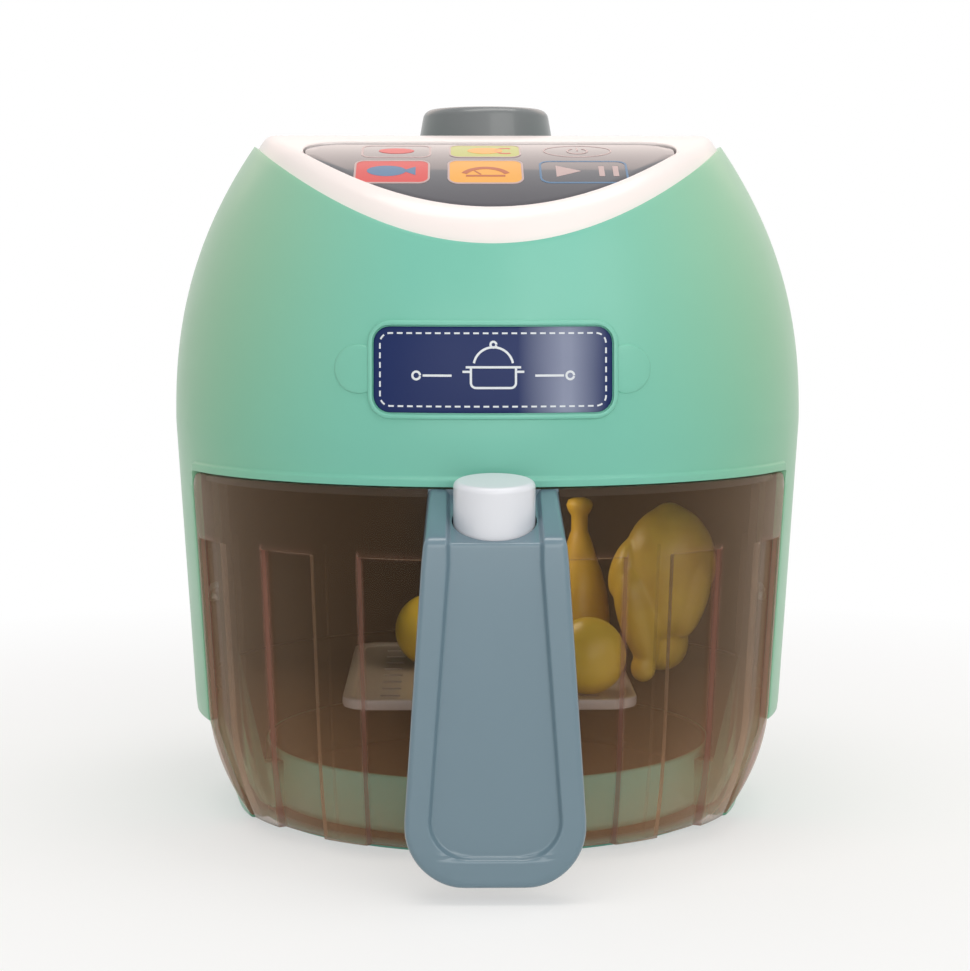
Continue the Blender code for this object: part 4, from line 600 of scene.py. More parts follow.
def stage():
    """Pale floor, even room light, four soft lamps, the chamber's own small lamp and the camera."""
    corners = [(-FLOOR_REACH, -FLOOR_REACH, 0), (FLOOR_REACH, -FLOOR_REACH, 0),
               (FLOOR_REACH, FLOOR_REACH, 0), (-FLOOR_REACH, FLOOR_REACH, 0)]
    mesh_piece("floor", corners, [(0, 1, 2, 3)], floor_paint())

    world = bpy.data.worlds.new("room")
    bpy.context.scene.world = world
    world.use_nodes = True
    room = world.node_tree.nodes["Background"]
    room.inputs["Color"].default_value = (1, 1, 1, 1)
    seen = seen_directly(world.node_tree)
    world.node_tree.links.new((ROOM_LEVEL + seen * (1 - ROOM_LEVEL)).socket, room.inputs["Strength"])

    for name, (place, target, size, power, colour) in LAMPS.items():
        light = bpy.data.lights.new(name, "AREA")
        light.shape = "RECTANGLE"
        light.size, light.size_y = size
        light.energy, light.color = power, colour
        item = bpy.data.objects.new(name, light)
        item.location = place
        item.rotation_euler = (Vector(target) - Vector(place)).to_track_quat("-Z", "Y").to_euler()
        bpy.context.scene.collection.objects.link(item)

    lens = bpy.data.cameras.new("camera")
    lens.sensor_width = SENSOR_WIDTH
    lens.lens = CAMERA_FOCAL_PX / PICTURE_PX * SENSOR_WIDTH
    lens.clip_start, lens.clip_end = 0.01, 50
    camera = bpy.data.objects.new("camera", lens)
    camera.location = (CAMERA_X, -CAMERA_DISTANCE, CAMERA_Z)
    camera.rotation_euler = (math.radians(90) - CAMERA_PITCH, 0, CAMERA_YAW)
    bpy.context.scene.collection.objects.link(camera)
    bpy.context.scene.camera = camera
    bpy.context.scene.view_settings.view_transform = "Standard"


# Outlines and printed shapes

def offset_rectangle(half_width, half_height, corner, arc=7, step=1.5 * MM):
    """A rounded rectangle that can grow: points of an inner one plus (corner + grow) times their normals."""
    signs = np.array([(1, 1), (-1, 1), (-1, -1), (1, -1)])
    ends = signs * (half_width - corner, half_height - corner)
    feet, turns = [], []
    for index, here in enumerate(ends):
        ahead = ends[(index + 1) % 4]
        feet.append(np.repeat(here[None, :], arc, axis=0))
        turns.append((index + np.linspace(0, 1, arc)) * math.pi / 2)
        count = max(int(np.linalg.norm(ahead - here) / step), 1)
        share = np.linspace(0, 1, count + 1)[1:-1, None]
        feet.append(here + (ahead - here) * share)
        turns.append(np.full(len(share), (index + 1) * math.pi / 2))
    feet, normals = np.concatenate(feet), circle(np.concatenate(turns))
    return lambda grow: feet + (corner + grow) * normals


def ellipse(half_width, half_height, count=40):
    """An outline that can grow, of points (half_width + grow) cos t, (half_height + grow) sin t."""
    points = circle(full_turn(count))
    return lambda grow: (half_width + grow, half_height + grow) * points


def laid(rings, lift, centre=(0, 0)):
    """Loops from rings of (points about a centre, height), each laid on a surface by its lift."""
    return np.stack([lift(*(points + centre).T, height) for points, height in rings])


def plate_loops(outline, profile, lift, centre=(0, 0), fill=6):
    """The rings of a plate on a curved surface, where outline(grow) gives points about the origin.

    They run from a point under its middle, out and up its profile of (grow, height), and in again to a point
    on its middle.
    """
    shares = np.linspace(0, 1, fill, endpoint=False)
    first, last = profile[0], profile[-1]
    rings = [(outline(first[0]) * share, first[1]) for share in shares]
    rings += [(outline(grow), height) for grow, height in profile]
    rings += [(outline(last[0]) * share, last[1]) for share in shares[::-1]]
    return laid(rings, lift, centre)


def ring_loops(outline, profile, lift, centre=(0, 0)):
    """The rings of a closed band that follows an outline: its profile of (grow, height) is carried round."""
    return laid([(outline(grow), height) for grow, height in profile], lift, centre)


def strip_loops(points, width, lift, low, high):
    """A thin printed line: four runs of points, low and high at both sides of its middle line."""
    points = np.asarray(points, float)
    ahead = np.gradient(points, axis=0)
    across = np.stack([-ahead[:, 1], ahead[:, 0]], -1) / np.linalg.norm(ahead, axis=1, keepdims=True)
    left, right = points + across * width / 2, points - across * width / 2
    runs = [lift(side[:, 0], side[:, 1], height) for side, height in
            ((left, low), (left, high), (right, high), (right, low))]
    loops = np.stack(runs, axis=1)
    middle = lift(points[:, 0], points[:, 1], (low + high) / 2)
    ends = [np.repeat(middle[end][None, None, :], 4, axis=1) for end in (0, -1)]
    return np.concatenate([ends[0], loops, ends[1]])


def arc_line(centre, radius, start, end, count=24):
    """Points of an arc, its angles in degrees from the first axis."""
    return centre + radius * circle(np.radians(np.linspace(start, end, count)))


def line(first, last, count=6):
    """Even points from one end to the other."""
    share = np.linspace(0, 1, count)[:, None]
    return np.array(first) + (np.array(last) - np.array(first)) * share


# Housing

LIP_PROUD, LIP_FACE, LIP_HEIGHT, LIP_END = 0.8 * MM, 1.7 * MM, 2.5 * MM, math.radians(2)


def shell_skin(azimuths, lows, rows=52, lip=False):
    """Barrel skin from a low edge up to the sliced top's rim.

    Rows lie close together above the low edge, then evenly. A lip stands LIP_PROUD out over the first
    LIP_FACE and falls off by a smoothstep up to LIP_HEIGHT, and so it does over the last LIP_END towards
    the opening's corners.
    """
    highs = crest(rim(azimuths) * np.cos(azimuths))
    near = np.array([0, 0.2, 0.5, 0.9, 1.4, 1.7, 1.9, 2.1, 2.3, 2.5, 2.8, 3.2]) * MM
    share = np.linspace(0, 1, rows)[1:, None]
    start = lows + near[-1]
    z = np.concatenate([lows + near[:, None], start + (highs - start) * share])
    outset = np.zeros_like(z)
    if lip:
        fall = 1 - smoothstep((z - lows - LIP_FACE) / (LIP_HEIGHT - LIP_FACE))
        outset = LIP_PROUD * fall * smoothstep((OPENING_ANGLE - np.abs(azimuths)) / LIP_END)
    return polar(azimuths[None, :], barrel(z) + outset, z)


def front_shell():
    """Skin above the opening and the two pillars beside it, as one sheet with a wall of even thickness."""
    half = math.pi / 2 - GAP / 2 / BELLY_RADIUS
    ends = corner_columns(OPENING_ANGLE)
    over = np.unique(np.round(np.concatenate([-ends, np.linspace(-ends[0], ends[0], 99), ends]), 9))
    pillar = np.linspace(OPENING_ANGLE, half, 12)
    azimuths = np.concatenate([-pillar[:0:-1], over, pillar[1:]])
    waist = OPENING_TOP - OPENING_CORNER
    lows = np.where(np.abs(azimuths) <= OPENING_ANGLE + 1e-6,
                    OPENING_TOP - corner_drop(azimuths, OPENING_ANGLE), waist)
    upper = shell_skin(azimuths, lows, lip=True)
    points, faces = [upper.reshape(-1, 3)], grid_faces(*upper.shape[:2])
    start = upper.shape[0] * upper.shape[1]
    for side in (-1, 1):
        z = np.linspace(SKIRT_Z, waist, 26)[:, None]
        lower = polar(np.sort(side * pillar)[None, :], barrel(z), z)
        points.append(lower.reshape(-1, 3))
        faces += grid_faces(*lower.shape[:2], start=start)
        start += lower.shape[0] * lower.shape[1]
    shell = mesh_piece("front_shell_skin", np.concatenate(points), faces, MINT)
    thicken(shell, WALL, 0.35 * MM)
    finish_piece(shell, "housing", ["front_shell"])


EAR_RADIUS, EAR_X, EAR_GAP = 6 * MM, 33 * MM, 1.3 * MM
PRINT_LOW, PRINT_HIGH = 0.2 * MM, 0.36 * MM
STITCH_INSET, STITCH_PITCH, STITCH_WIDTH, STITCH_SHARE = 1.6 * MM, 2.3 * MM, 0.42 * MM, 0.6
EMBLEM_SCALE, EMBLEM_DROP, EMBLEM_LINE = 0.78 * MM, 0.6 * MM, 0.55 * MM


def badge():
    """Frame, two round ears, navy sheet with its stitched edge and a printed pot, on the barrel's front."""
    lift = on_barrel(-1, BADGE_Z)
    outline = offset_rectangle(BADGE_HALF_WIDTH, BADGE_HALF_HEIGHT, BADGE_CORNER)
    frame_profile = np.array([(0.3, -1.2), (0.3, 0.55), (0.42, 0.8), (0.65, 0.9), (1.15, 0.9), (1.38, 0.8),
                              (1.5, 0.55), (1.5, -0.8)]) * MM
    ear_profile = np.array([(0.0, -0.6), (0.0, 0.15), (-0.12, 0.32), (-0.4, 0.4)]) * MM
    sheet_profile = np.array([(0.0, -0.9), (0.0, 0.1), (-0.1, 0.25), (-0.3, 0.3)]) * MM
    bands = [ring_loops(outline, frame_profile, lift)]
    for side in (-1, 1):
        def ear_lift(x, z, outset, side=side):
            return lift(side * np.maximum(np.abs(x), BADGE_HALF_WIDTH + EAR_GAP), z, outset)

        bands.append(plate_loops(ellipse(EAR_RADIUS, EAR_RADIUS), ear_profile, ear_lift, (side * EAR_X, 0)))
    finish_piece(joined("badge_frame", bands, MINT), "housing")
    sheet = joined("badge_sheet", [plate_loops(outline, sheet_profile, lift, fill=14)], NAVY)
    finish_piece(sheet, "housing", ["badge_plate"])

    track = refined(outline(-STITCH_INSET), 0.25 * MM)
    walked = np.concatenate([[0], np.cumsum(np.linalg.norm(np.diff(track, axis=0), axis=1))])
    count = round(walked[-1] / STITCH_PITCH)
    pitch = walked[-1] / count
    stitches = []
    for index in range(count):
        along = (index + np.linspace(0.0, STITCH_SHARE, 5)) * pitch
        points = np.stack([np.interp(along, walked, track[:, axis]) for axis in (0, 1)], -1)
        stitches.append(strip_loops(points, STITCH_WIDTH, lift, PRINT_LOW, PRINT_HIGH))
    finish_piece(joined("badge_stitches", stitches, INK_WHITE), "housing")

    pot = [line((-7, 1.6), (-7, -3.2)), arc_line((-5.4, -3.2), 1.6, 180, 270),
           line((-5.4, -4.8), (5.4, -4.8)), arc_line((5.4, -3.2), 1.6, 270, 360),
           line((7, -3.2), (7, 1.6)), line((-8.6, 1.6), (8.6, 1.6)),
           arc_line((0, 1.6), 6.2, 12, 168, 30), arc_line((0, 8.6), 0.9, 0, 350),
           line((-9.6, 0.2), (-7.2, 0.2)), line((7.2, 0.2), (9.6, 0.2)),
           line((-22, -1.0), (-13, -1.0)), line((13, -1.0), (22, -1.0)),
           arc_line((-24, -1.0), 1.2, 0, 350), arc_line((24, -1.0), 1.2, 0, 350)]
    lines = [strip_loops(points * EMBLEM_SCALE - (0, EMBLEM_DROP), EMBLEM_LINE, lift, PRINT_LOW, PRINT_HIGH)
             for points in pot]
    finish_piece(joined("badge_emblem", lines, INK_WHITE), "housing")


def ray_radius(outline, centre, turns):
    """Distance from centre to a closed outline along each angle, read from its points in order of angle."""
    offset = outline - np.array(centre)
    angle = np.arctan2(offset[:, 1], offset[:, 0]) % TAU
    order = np.argsort(angle)
    return np.interp(turns, angle[order], np.linalg.norm(offset, axis=1)[order], period=TAU)


def lens_outline(grow=0.0):
    """Plan of the lens: the rim drawn in by a border, closed by a straight back edge with round corners.

    The border narrows from the front to the side with sin² of the azimuth.
    """
    dense = np.linspace(0, math.pi / 2, 400)
    border = LENS_FRONT_BORDER + (LENS_SIDE_BORDER - LENS_FRONT_BORDER) * np.sin(dense) ** 2 - grow
    edge = polar(dense, rim(dense) - border, 0)
    back = LENS_BACK + grow
    last = np.interp(back - LENS_CORNER, edge[:, 1], dense)
    azimuth = np.linspace(-last, last, 121)
    x = np.sign(azimuth) * np.interp(np.abs(azimuth), dense, edge[:, 0])
    y = np.interp(np.abs(azimuth), dense, edge[:, 1])
    side = x[-1] + LENS_CORNER / 10
    points = np.concatenate([[(-side, back)], np.stack([x, y], -1), [(side, back)]])
    return rounded(points, {0: LENS_CORNER * 0.7, len(points) - 1: LENS_CORNER * 0.7}, 12)


# Least slope of a ray that is measured to a straight edge, and a distance in metres beyond every edge
LEAST_SLANT, FAR = 0.05, 1.0
BEZEL_CENTRE_Y, BEZEL_EDGE, BEZEL_SHELF, BEZEL_INWARDS = -34 * MM, 1.6 * MM, 0.6 * MM, 3 * MM


def slice_reach(centre, turns, straight, side, inset, raised):
    """Distance from a centre along rays to the edge of a cover on the slice.

    The edge is the rim, drawn in by inset, and a straight line at a depth, in front (side -1) or behind
    (side 1), drawn in as well.
    """
    azimuth = full_turn(720)
    edge = polar(azimuth, rim(azimuth, RIM + GAP + inset, raised), 0)[:, :2]
    towards = side * np.sin(turns)
    away = side * (straight - side * inset - centre[1])
    to_line = np.where(towards > LEAST_SLANT, away / np.maximum(towards, LEAST_SLANT), FAR)
    return np.minimum(ray_radius(edge, centre, turns), to_line)


def slice_loops(centre, turns, rings):
    """Loops on the slice: each ring is a distance along rays from a centre, and a height."""
    return laid([(circle(turns) * reach[:, None], height) for reach, height in rings], on_crest, centre)


def top_bezel():
    """Cream ring on the slice.

    Every ring of points is read along the same rays from a centre. The inner rings are the lens's outline
    grown by a little, the outer ones the rim and the straight back edge drawn in, and rings between them
    blend the two.
    """
    centre = np.array((0.0, BEZEL_CENTRE_Y))
    corner_x = np.sqrt(barrel(crest(BEZEL_BACK)) ** 2 - BEZEL_BACK ** 2)
    corner_turns = [math.atan2(BEZEL_BACK - BEZEL_CENTRE_Y, side * corner_x) % TAU for side in (-1, 1)]
    turns = np.unique(np.concatenate([full_turn(360), corner_turns]))

    def inner(grow):
        return ray_radius(refined(lens_outline(grow), 0.4 * MM), centre, turns)

    def outer(inset, raised):
        return slice_reach(centre, turns, BEZEL_BACK, 1, inset, raised)

    top, under = BEZEL_PROUD, -SEAT + GAP
    rings = [(inner(-BEZEL_INWARDS), under), (inner(-BEZEL_INWARDS), BEZEL_SHELF), (inner(GAP), BEZEL_SHELF),
             (inner(GAP), top - 0.35 * MM), (inner(GAP + 0.1 * MM), top - 0.1 * MM),
             (inner(GAP + 0.35 * MM), top)]
    first, last = inner(GAP + 0.5 * MM), outer(BEZEL_EDGE, top)
    rings += [(first + (last - first) * share, top) for share in np.linspace(0.05, 1, 9)]
    for turn in np.linspace(0, math.pi / 2, 7)[1:]:
        height = top - BEZEL_EDGE * (1 - math.cos(turn))
        rings.append((outer(BEZEL_EDGE * (1 - math.sin(turn)), height), height))
    rings += [(outer(0, height), height) for height in (0.7 * MM, 0.0, under)]
    bezel = joined("bezel_ring", [slice_loops(centre, turns, rings)], CREAM, 30)
    finish_piece(bezel, "housing", ["top_bezel"])


LENS_CENTRE_Y, LENS_SUNK, LENS_DEPTH, INK_SUNK = -44 * MM, 0.5 * MM, 1.6 * MM, 0.05 * MM


def control_panel():
    """Glossy lens, and the icons printed on it: plates, bands and lines at most 0.12 mm high.

    Places, widths and levels of the print are in millimetres. The keys of prints are a piece's name and its
    ink's name.
    """
    middle = np.array((0.0, LENS_CENTRE_Y))
    base = refined(lens_outline(), 0.8 * MM)
    towards = base - middle

    def outline(grow):
        return towards * (1 + grow / np.linalg.norm(towards, axis=1, keepdims=True))

    top = BEZEL_PROUD - LENS_SUNK
    low = top - INK_SUNK
    profile = [(0, top - LENS_DEPTH), (0, top - 0.25 * MM), (-0.08 * MM, top - 0.08 * MM), (-0.3 * MM, top)]
    lens = joined("lens_sheet", [plate_loops(outline, profile, on_crest, middle, 16)], LENS)
    finish_piece(lens, "housing", ["control_panel"])

    def frame_at(x0, x1, y0, y1, corner=2.6):
        half = ((x1 - x0) / 2 * MM, (y1 - y0) / 2 * MM)
        return offset_rectangle(*half, corner * MM), ((x0 + x1) / 2 * MM, (y0 + y1) / 2 * MM)

    def plate_ink(outline, place, level=0.05):
        return plate_loops(outline, [(0, low), (0, top + level * MM)], on_crest, place, 5)

    def band_ink(outline, place, width=0.55, level=0.07):
        high, half = top + level * MM, width / 2 * MM
        return ring_loops(outline, [(half, low), (half, high), (-half, high), (-half, low)], on_crest, place)

    def line_ink(points, width=0.6, level=0.09):
        return strip_loops(points * MM, width * MM, on_crest, low, top + level * MM)

    def fixed(points):
        points = refined(points * MM, 1 * MM)
        return lambda grow: points

    red, orange = frame_at(-34.6, -15.8, -60, -46.4), frame_at(-10.8, 8, -60.2, -46.2)
    blue, grey = frame_at(12.6, 34.6, -59.8, -46.6), frame_at(-33.2, -15.6, -43.4, -31.6)
    lime = frame_at(-10.4, 7.8, -43.4, -31.4)
    oval = ellipse(8.8 * MM, 5.6 * MM), (22.8 * MM, -37.4 * MM)
    steak = ellipse(4.6 * MM, 2.6 * MM), (-24.4 * MM, -37.5 * MM)
    bun = ellipse(4.6 * MM, 3.0 * MM), (-1.3 * MM, -37.4 * MM)
    fish = ellipse(5.0 * MM, 3.2 * MM), (-26.6 * MM, -53.2 * MM)
    tail = fixed(np.array([(0, 0), (3.4, 2.6), (3.4, -2.6)])), (-22.6 * MM, -53.2 * MM)
    arrow = fixed(np.array([(-3.0, -3.4), (3.4, 0), (-3.0, 3.4)])), (19.6 * MM, -53.2 * MM)
    prints = {("red", "red"): [plate_ink(*red), plate_ink(*steak, 0.07),
                               line_ink(arc_line((4.0, -37.5), 2.6, 60, 300), 0.7, 0.1)],
              ("orange", "orange"): [plate_ink(*orange), plate_ink(*bun, 0.1)],
              ("lime", "lime"): [plate_ink(*lime)],
              ("navy", "blue"): [plate_ink(*fish, 0.09), plate_ink(*tail, 0.09), band_ink(*blue)],
              ("rust", "rust"): [line_ink(arc_line((-1.4, -57.4), 6.0, 25, 155), 1.5, 0.1),
                                 line_ink(line((-6.4, -56.2), (3.6, -56.2)), 0.9, 0.1),
                                 line_ink(line((-4.2, -53.2), (-2.6, -55.4)), 0.5, 0.1)],
              ("pink", "pink"): [band_ink(*grey), band_ink(*oval, 0.4), plate_ink(*arrow),
                                 line_ink(line((28.2, -56.2), (28.2, -50.2)), 1.4),
                                 line_ink(line((31.8, -56.2), (31.8, -50.2)), 1.4),
                                 line_ink(arc_line((22.8, -37.6), 2.6, 120, 420), 0.5),
                                 line_ink(line((22.8, -37.4), (22.8, -34.0)), 0.5),
                                 band_ink(*red, 0.5, 0.12), band_ink(*orange, 0.5, 0.12),
                                 band_ink(*lime, 0.4, 0.12)]}
    for (name, ink), grids in prints.items():
        finish_piece(joined(f"icons_{name}", grids, INKS[ink]), "housing")


def capped(loops):
    """Close the open ends of a run of loops by a point in the middle of its first and last one."""
    ends = [np.broadcast_to(loop.mean(axis=0), loop.shape)[None] for loop in (loops[0], loops[-1])]
    return np.concatenate([ends[0], loops, ends[1]])


def prism(outline, lift, first, last):
    """Loops of a tool that cuts an outline through a piece, from a first depth to a last one."""
    return capped(laid([(outline, first), (outline, last)], lift))


def barrel_layer(azimuths, z, inner, outer):
    """A curved plate between two insets of the barrel: each loop runs up its outside and down its inside."""
    azimuths, z = np.asarray(azimuths)[:, None], np.asarray(z)[None, :]
    outside = polar(azimuths, barrel(z) - outer, z)
    inside = polar(azimuths, barrel(z) - inner, z)
    return capped(np.concatenate([outside, inside[:, ::-1]], axis=1))


def upright(radius, low, high, centre, edge=0.3 * MM, steps=24):
    """Loops of a post along Z with a rounded upper edge."""
    rings = [(0, low), (radius, low), (radius, high - edge), (radius - edge * 0.3, high - edge * 0.3),
             (radius - edge, high), (0, high)]
    turn = circle(full_turn(steps))
    return np.stack([np.column_stack([centre + reach * turn, np.full(steps, z)]) for reach, z in rings])


DOOR_HALF_WIDTH, DOOR_Z, DOOR_HALF_HEIGHT, DOOR_CORNER = 27.95 * MM, 124.6 * MM, 19.4 * MM, 3 * MM
VENT_LENGTH, VENT_HEIGHT, VENT_PITCH, VENT_COUNT, VENT_LOW = 20 * MM, 3 * MM, 7 * MM, 4, 106 * MM
VENT_X = DOOR_HALF_WIDTH + 9 * MM + VENT_LENGTH / 2
HOLES_FROM, HOLES_TO = 60 * MM, 95 * MM


def rear_shell():
    """Rear half of the skin with its wall, cut by the doorway and by the vents beside it."""
    half = math.pi / 2 - GAP / 2 / BELLY_RADIUS
    azimuths = np.linspace(math.pi - half, math.pi + half, 121)
    skin = shell_skin(azimuths, np.full(121, SKIRT_Z), 60)
    shell = mesh_piece("rear_shell_skin", skin, grid_faces(*skin.shape[:2]), MINT)
    thicken(shell, WALL)
    settle(shell)

    def from_rear(x, z, y):
        return points_at(x, y, z)

    doorway = rectangle(DOOR_HALF_WIDTH + GAP, DOOR_HALF_HEIGHT + GAP, DOOR_CORNER) + (0, DOOR_Z)
    holes = [prism(doorway, from_rear, HOLES_FROM, HOLES_TO)]
    vent = rectangle(VENT_LENGTH / 2, VENT_HEIGHT / 2, 1.2 * MM, 4)
    for side in (-1, 1):
        for index in range(VENT_COUNT):
            height = VENT_LOW + VENT_HEIGHT / 2 + index * VENT_PITCH
            holes.append(prism(vent + (side * VENT_X, height), from_rear, HOLES_FROM, HOLES_TO))
    cut_away(shell, "openings", joined("tool", holes, MINT))
    soften(shell, 0.3 * MM, 60)
    settle(shell)
    # Painted shade: the inner wall below the ceiling is marked for the dark brown of the chamber's shade.
    paint(shell, "soot", lambda x, y, z: (np.hypot(x, y) < barrel(z) - WALL / 2) & (z < CEILING))
    finish_piece(shell, "housing", ["rear_shell"])


RIB_HALF_LENGTH, RIB_HALF_HEIGHT, RIB_CORNER = 7 * MM, 0.55 * MM, 0.5 * MM
RIB_HEIGHTS = (np.arange(5) * 2.4 + 0.5) * MM


def battery_door():
    """Door on the barrel's rear, with rounded edges and a finger pad of low ribs under its screw."""
    lift = on_barrel(1, DOOR_Z)
    outline = offset_rectangle(DOOR_HALF_WIDTH, DOOR_HALF_HEIGHT, DOOR_CORNER)
    profile = np.array([(0, -2.0), (0, -0.5), (-0.15, -0.15), (-0.5, 0)]) * MM
    grids = [plate_loops(outline, profile, lift, fill=14)]
    rib = offset_rectangle(RIB_HALF_LENGTH, RIB_HALF_HEIGHT, RIB_CORNER, 4)
    rib_profile = np.array([(0, -0.4), (0, 0.2), (-0.12, 0.38), (-0.3, 0.45)]) * MM
    grids += [plate_loops(rib, rib_profile, lift, (0, height), 3) for height in RIB_HEIGHTS]
    door = joined("battery_door_plate", grids, MINT)
    finish_piece(door, "housing", ["battery_door"])


BASE_WALL, BASE_FLOOR, BASE_STEP, BASE_EDGE = 2 * MM, 2.5 * MM, 2.6 * MM, 1.5 * MM
FOOT_INSET, FRONT_INSET, SPIGOT_RISE = 9 * MM, 5 * MM, 8 * MM
DRAWER_GAP, FRONT_COLUMNS, REAR_COLUMNS = math.radians(68.5), 60, 120


def base_pan():
    """Floor and wall as one profile carried round, drawn in to the front edge within the drawer's gap."""
    skirt = float(barrel(SKIRT_Z))
    spigot, waist = skirt - WALL - GAP, skirt - BASE_STEP
    foot = waist - FOOT_INSET
    front, top = foot - FRONT_INSET, SKIRT_Z + SPIGOT_RISE
    corners = [(0, 0), (foot, 0), (waist, SKIRT_Z - BASE_WALL), (spigot, SKIRT_Z), (spigot, top),
               (spigot - BASE_WALL, top), (spigot - BASE_WALL, SKIRT_Z + BASE_WALL),
               (waist - BASE_WALL, SKIRT_Z), (foot - BASE_WALL, BASE_FLOOR), (0, BASE_FLOOR)]
    profile = rounded(corners, {1: BASE_EDGE, 4: 0.5 * MM, 5: 0.5 * MM, 8: BASE_EDGE}, 4)
    azimuth = np.concatenate([np.linspace(-DRAWER_GAP, DRAWER_GAP, FRONT_COLUMNS),
                              np.linspace(DRAWER_GAP, TAU - DRAWER_GAP, REAR_COLUMNS)])
    limit = np.where(np.arange(len(azimuth)) < FRONT_COLUMNS, front, FAR)[:, None]
    beyond = profile[None, :, 0] >= limit
    radius = np.where(beyond, limit, profile[None, :, 0])
    rise = np.where(profile[:, 1] > BASE_FLOOR * 0.6, BASE_FLOOR, 0.0)[None, :]
    z = np.where(beyond, rise, profile[None, :, 1])
    pan = joined("base_pan_shell", [polar(azimuth[:, None], radius, z)], MINT)

    # Painted shade: the pan's inner floor and wall are marked for the dark brown of the chamber's shade.
    def lining(x, y, z):
        flank = foot + (waist - foot) * z / (SKIRT_Z - BASE_WALL) - BASE_WALL / 2
        return (np.hypot(x, y) < flank) & (z > BASE_FLOOR / 2)

    paint(pan, "soot", lining)
    finish_piece(pan, "housing", ["base_pan"])


DECK_HOLE, COLLAR_DEPTH = 14.3 * MM, 3 * MM


def rear_deck():
    """Cover of the slice behind the bezel, read along rays from the cap's axis, and the cap's collar."""
    centre = np.array((0.0, CAP_Y))
    turns = full_turn(360)

    def outer(inset, raised):
        return slice_reach(centre, turns, BEZEL_BACK + GAP, -1, inset, raised)

    hole = np.full(len(turns), DECK_HOLE)
    low = -SEAT + GAP
    rings = [(hole, low), (hole, 0.0)]
    first, last = hole + 1 * MM, outer(0.5 * MM, 0.0)
    rings += [(first + (last - first) * share, 0.0) for share in np.linspace(0, 1, 7)]
    rings += [(outer(0.15 * MM, -0.15 * MM), -0.15 * MM), (outer(0, -0.5 * MM), -0.5 * MM),
              (outer(0, low), low)]
    deck = joined("deck_plate", [slice_loops(centre, turns, rings)], MINT)
    finish_piece(deck, "housing", ["rear_deck"])

    foot = float(crest(CAP_Y)) - COLLAR_DEPTH
    ends = [(DECK_HOLE, foot), (COLLAR_RADIUS, foot), (COLLAR_RADIUS, COLLAR_TOP), (DECK_HOLE, COLLAR_TOP)]
    collar = lathe("cap_collar", rounded(ends, {2: 0.6 * MM, 3: 0.4 * MM}), MINT, foot=(0, CAP_Y, 0))
    finish_piece(collar, "housing")


CAP_WALL, CAP_BAND, DISH_INSET, DISH_SLOPE, DISH_DEPTH = 1.8 * MM, 1.2 * MM, 4.6 * MM, 1 * MM, 0.5 * MM
WELL_RADIUS, WELL_WALL, WELL_DEPTH, WELL_FLANGE = 14 * MM, 1.4 * MM, 28 * MM, (2.2 * MM, 1.5 * MM)


def mist_cap():
    """Hollow cap: its flank leans in, its upper edge is rounded, and a shallow dish is sunk in its top."""
    low, inside = COLLAR_TOP + GAP, CAP_TOP - CAP_WALL - DISH_DEPTH
    outer = [(CAP_RADIUS, low), (CAP_RADIUS, low + CAP_BAND), (CAP_TOP_RADIUS, CAP_TOP)]
    dish = [(CAP_TOP_RADIUS - DISH_INSET, CAP_TOP - 0.02 * MM),
            (CAP_TOP_RADIUS - DISH_INSET - DISH_SLOPE, CAP_TOP - DISH_DEPTH), (0, CAP_TOP - DISH_DEPTH)]
    inner = [(0, inside), (CAP_TOP_RADIUS - CAP_WALL, inside), (CAP_RADIUS - CAP_WALL, low)]
    radii = {0: 0.4 * MM, 1: 4 * MM, 2: 2.8 * MM, 3: 0.5 * MM, 4: 0.5 * MM}
    profile = rounded(outer + dish + inner, radii, 7)
    cap = lathe("mist_cap_shell", profile, STONE, 120, (0, CAP_Y, 0))
    finish_piece(cap, "mist_cap", ["mist_cap"])


def mist_well():
    """Cup that hangs by its flange on the collar, with rounded rims."""
    seat, radius, bore = COLLAR_TOP + GAP, WELL_RADIUS, WELL_RADIUS - WELL_WALL
    low, top, flange = seat - WELL_DEPTH, seat + WELL_FLANGE[1], radius + WELL_FLANGE[0]
    ends = [(0, low), (radius, low), (radius, seat), (flange, seat), (flange, top), (radius, top),
            (radius, top + 3 * MM), (bore, top + 3 * MM), (bore, low + WELL_WALL), (0, low + WELL_WALL)]
    profile = rounded(ends, {1: 2 * MM, 4: 0.4 * MM, 6: 0.5 * MM, 7: 0.5 * MM, 8: 1.2 * MM})
    cup = lathe("mist_well_cup", profile, CREAM, foot=(0, CAP_Y, 0))
    finish_piece(cup, "housing", ["mist_well"])


# Drawer

FLUTE_STEP, FLUTE_DRIFT, DRIFT_HOLD = 0.5 * MM, 0.05, math.radians(45)
LINE_WIDTH, LINE_END = 0.3 * MM, 0.35 * MM
START_WEIGHT, END_WEIGHT, TOP_WEIGHT = 0.2, 0.9, 0.35


def flute_azimuth(mark, z):
    """Azimuth at a height of a line that starts at an angle at the flutes' top.

    A line keeps its distance from the middle plane but for a share FLUTE_DRIFT, and ever less so from
    DRIFT_HOLD to the window's edge, which stays at one azimuth.
    """
    down = np.clip((FLUTE_TOP - z) / (FLUTE_TOP - WINDOW_LOW), 0, 1)
    shift = np.where(z < FLUTE_TOP, barrel(FLUTE_TOP) / barrel(z) * (1 - FLUTE_DRIFT * down), 1.0)
    upright = np.arcsin(np.clip(np.sin(mark) * shift, -1, 1))
    hold = 1 - smoothstep((np.abs(mark) - DRIFT_HOLD) / (WINDOW_ANGLE - DRIFT_HOLD))
    return mark + (upright - mark) * hold


def flute_mark(azimuth, z):
    """Angle at the flutes' top of the line through a point, found by repeated correction."""
    mark = np.array(azimuth, float)
    for _ in range(12):
        mark -= 0.7 * (flute_azimuth(mark, z) - azimuth)
    return mark


